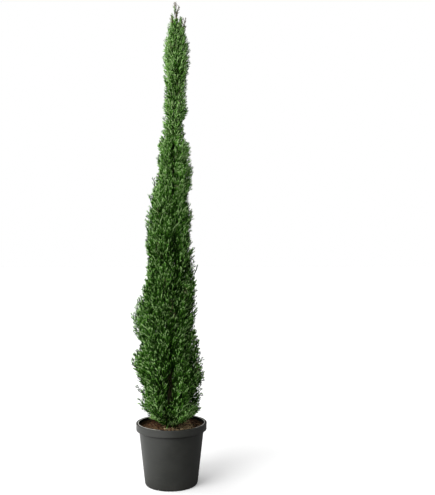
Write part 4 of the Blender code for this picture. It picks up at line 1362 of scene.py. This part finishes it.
def spray_points(placed, chance):
    """A mesh of bare points that says where each spray goes, and its turn, size, form and colour."""
    mesh = bpy.data.meshes.new("points")
    mesh.from_pydata([tuple(root) for root, *_ in placed], [], [])
    tones, bronzed, forms = [], [], []
    for root, tip, _, tone, depth in placed:
        offset = tip - axis_point(tip.z)
        right = max(0, offset.x) / max(0.02, math.hypot(offset.x, offset.y))
        # painted light by height and at the crown's right edge, and painted shade by depth in the crown
        light = between(SUNNY, tip.z) + right * between(SUNNY, tip.z, 2)
        light += tone - (TIP_SHADE if tip.z > BRONZED_ABOVE else DEEP_SHADE) * abs(depth)
        tones.append(min(len(GREENS) - 1, max(0, round(light))))
        high = max(0, tip.z - BRONZED_ABOVE) / (CROWN_TOP - BRONZED_ABOVE)
        brown = high + (BRONZED_STRAYS if depth < STANDS_OUT else BRONZED_WITHIN)
        bronzed.append(2 if chance.random() < high - WHOLLY_BRONZED else int(chance.random() < brown))
        kind = "short" if (tip - root).length < SHORT else "long"
        deep = depth > STRAY_DEPTH and tip.z < STRAY_BELOW
        if high > STRAY_ABOVE or depth < STANDS_OUT or deep:
            kind += "_stray"
        forms.append(chance.choice(FORM_NUMBERS[kind]))
    turns = [turned_to(root, tip, roll) for root, tip, roll, *_ in placed]
    values = {
        "turned": ("QUATERNION", [number for turn in turns for number in turn]),
        "size": ("FLOAT", [(tip - root).length for root, tip, *_ in placed]),
        "form": ("INT", forms),
        "tone": ("INT", tones),
        "bronzed": ("INT", bronzed),
    }
    for name, (kind, numbers) in values.items():
        mesh.attributes.new(name, kind, "POINT").data.foreach_set("value", numbers)
    return mesh


FORM_NUMBERS, form_meshes = {}, []
for kind, (count, *shape) in SPRAY_KINDS.items():
    FORM_NUMBERS[kind] = range(len(form_meshes), len(form_meshes) + count)
    form_meshes += [spray_form(number, *shape) for number in FORM_NUMBERS[kind]]
leafy = leaf_tree()
leaf_materials = {name: make_leaf(f"leaves_{name.lower()}", colour) for name, colour in GREENS.items()}
leaf_materials["Bronze"] = make_leaf("leaves_bronze", BRONZE)
forms = kept_apart("spray", form_meshes)
for mass, placed in sprays.items():
    points = spray_points(placed, random.Random(f"{SEED} {mass}"))
    mesh = grown(leafy, points, Sprays=forms, **leaf_materials)
    for name in ("turned", "size", "form", "tone", "bronzed", "lift", "at_end"):
        if name in mesh.attributes:
            mesh.attributes.remove(mesh.attributes[name])
    piece(f"leaves_{mass}", mesh, "foliage", None, f"foliage_{mass}")
clear_away(forms)


# The studio: a plain white floor and surround, one soft sun-like lamp from the front left, and a camera
# level with the middle of the plant.
KEY_DIRECTION = Vector((0.480, 0.530, -0.699))
KEY_SOFTNESS = 34  # degrees across
KEY_STRENGTH = 1.40
BRIGHT_SIDE = Vector((-0.97, -0.22, 0.05))
BRIGHTENS_FROM = -0.30  # turned this far to the bright side or more, the surround brightens
FILL = (0.25, 1.95)  # of the surround, on its dim side and on its bright side
FLOOR_HALF = 30  # metres
FLOOR_SEEN = (0.90, 0.90, 0.90, 1)
FLOOR_GLOW = 0.23  # lights the floor's shadows from below
FLOOR_BACK = (0.18, 0.95)  # what the floor gives back to the plant, on its dim and on its bright side
FLOOR_BACK_FROM = (0.02, -0.32)  # where along X it begins to change, and where it ends
LENS = 51.1
CAMERA_PLACE = (0, -2.6, 0.862)
CAMERA_TURN = (90.15, 0, -3.74)  # degrees

world = bpy.data.worlds.new("surround")
bpy.context.scene.world = world
world.use_nodes = True
tree = world.node_tree
tree.nodes.clear()
ways = {0: node(tree, "ShaderNodeTexCoord").outputs["Generated"], 1: BRIGHT_SIDE}
facing = node(tree, "ShaderNodeVectorMath", ways, operation="DOT_PRODUCT").outputs["Value"]
fill = ranged(tree, facing, BRIGHTENS_FROM, 1, *FILL, interpolation_type="SMOOTHSTEP")
seen = node(tree, "ShaderNodeLightPath").outputs["Is Camera Ray"]
strength = ranged(tree, seen, 0, 1, fill, 1)
glow = node(tree, "ShaderNodeBackground", {"Color": (1, 1, 1, 1), "Strength": strength})
node(tree, "ShaderNodeOutputWorld", {"Surface": glow.outputs[0]})

corners = [(FLOOR_HALF * x, FLOOR_HALF * y, 0) for x, y in ((-1, -1), (1, -1), (1, 1), (-1, 1))]
floor_mesh = mesh_of("floor", corners, [(0, 1, 2, 3)])
floor_material, tree, shader = new_material("white_floor", Roughness=0.9, Emission_Color=(1, 1, 1, 1))
seen = node(tree, "ShaderNodeLightPath").outputs["Is Camera Ray"]
across = place_in(tree)[1]
back = ranged(tree, across, *FLOOR_BACK_FROM, *FLOOR_BACK, interpolation_type="SMOOTHSTEP")
tree.links.new(mix_colours(tree, seen, back, FLOOR_SEEN), shader.inputs["Base Color"])
tree.links.new(reckoned(tree, "MULTIPLY", seen, FLOOR_GLOW), shader.inputs["Emission Strength"])
floor_mesh.materials.append(floor_material)
floor = put("floor", floor_mesh)

lamp = bpy.data.lights.new("key", "SUN")
lamp.angle = math.radians(KEY_SOFTNESS)
lamp.energy = KEY_STRENGTH
put("key", lamp).rotation_euler = KEY_DIRECTION.to_track_quat("-Z", "Y").to_euler()

lens = bpy.data.cameras.new("camera")
lens.lens = LENS
camera = put("camera", lens)
camera.location = CAMERA_PLACE
camera.rotation_euler = [math.radians(degrees) for degrees in CAMERA_TURN]
bpy.context.scene.camera = camera
bpy.context.scene.view_settings.view_transform = "Standard"
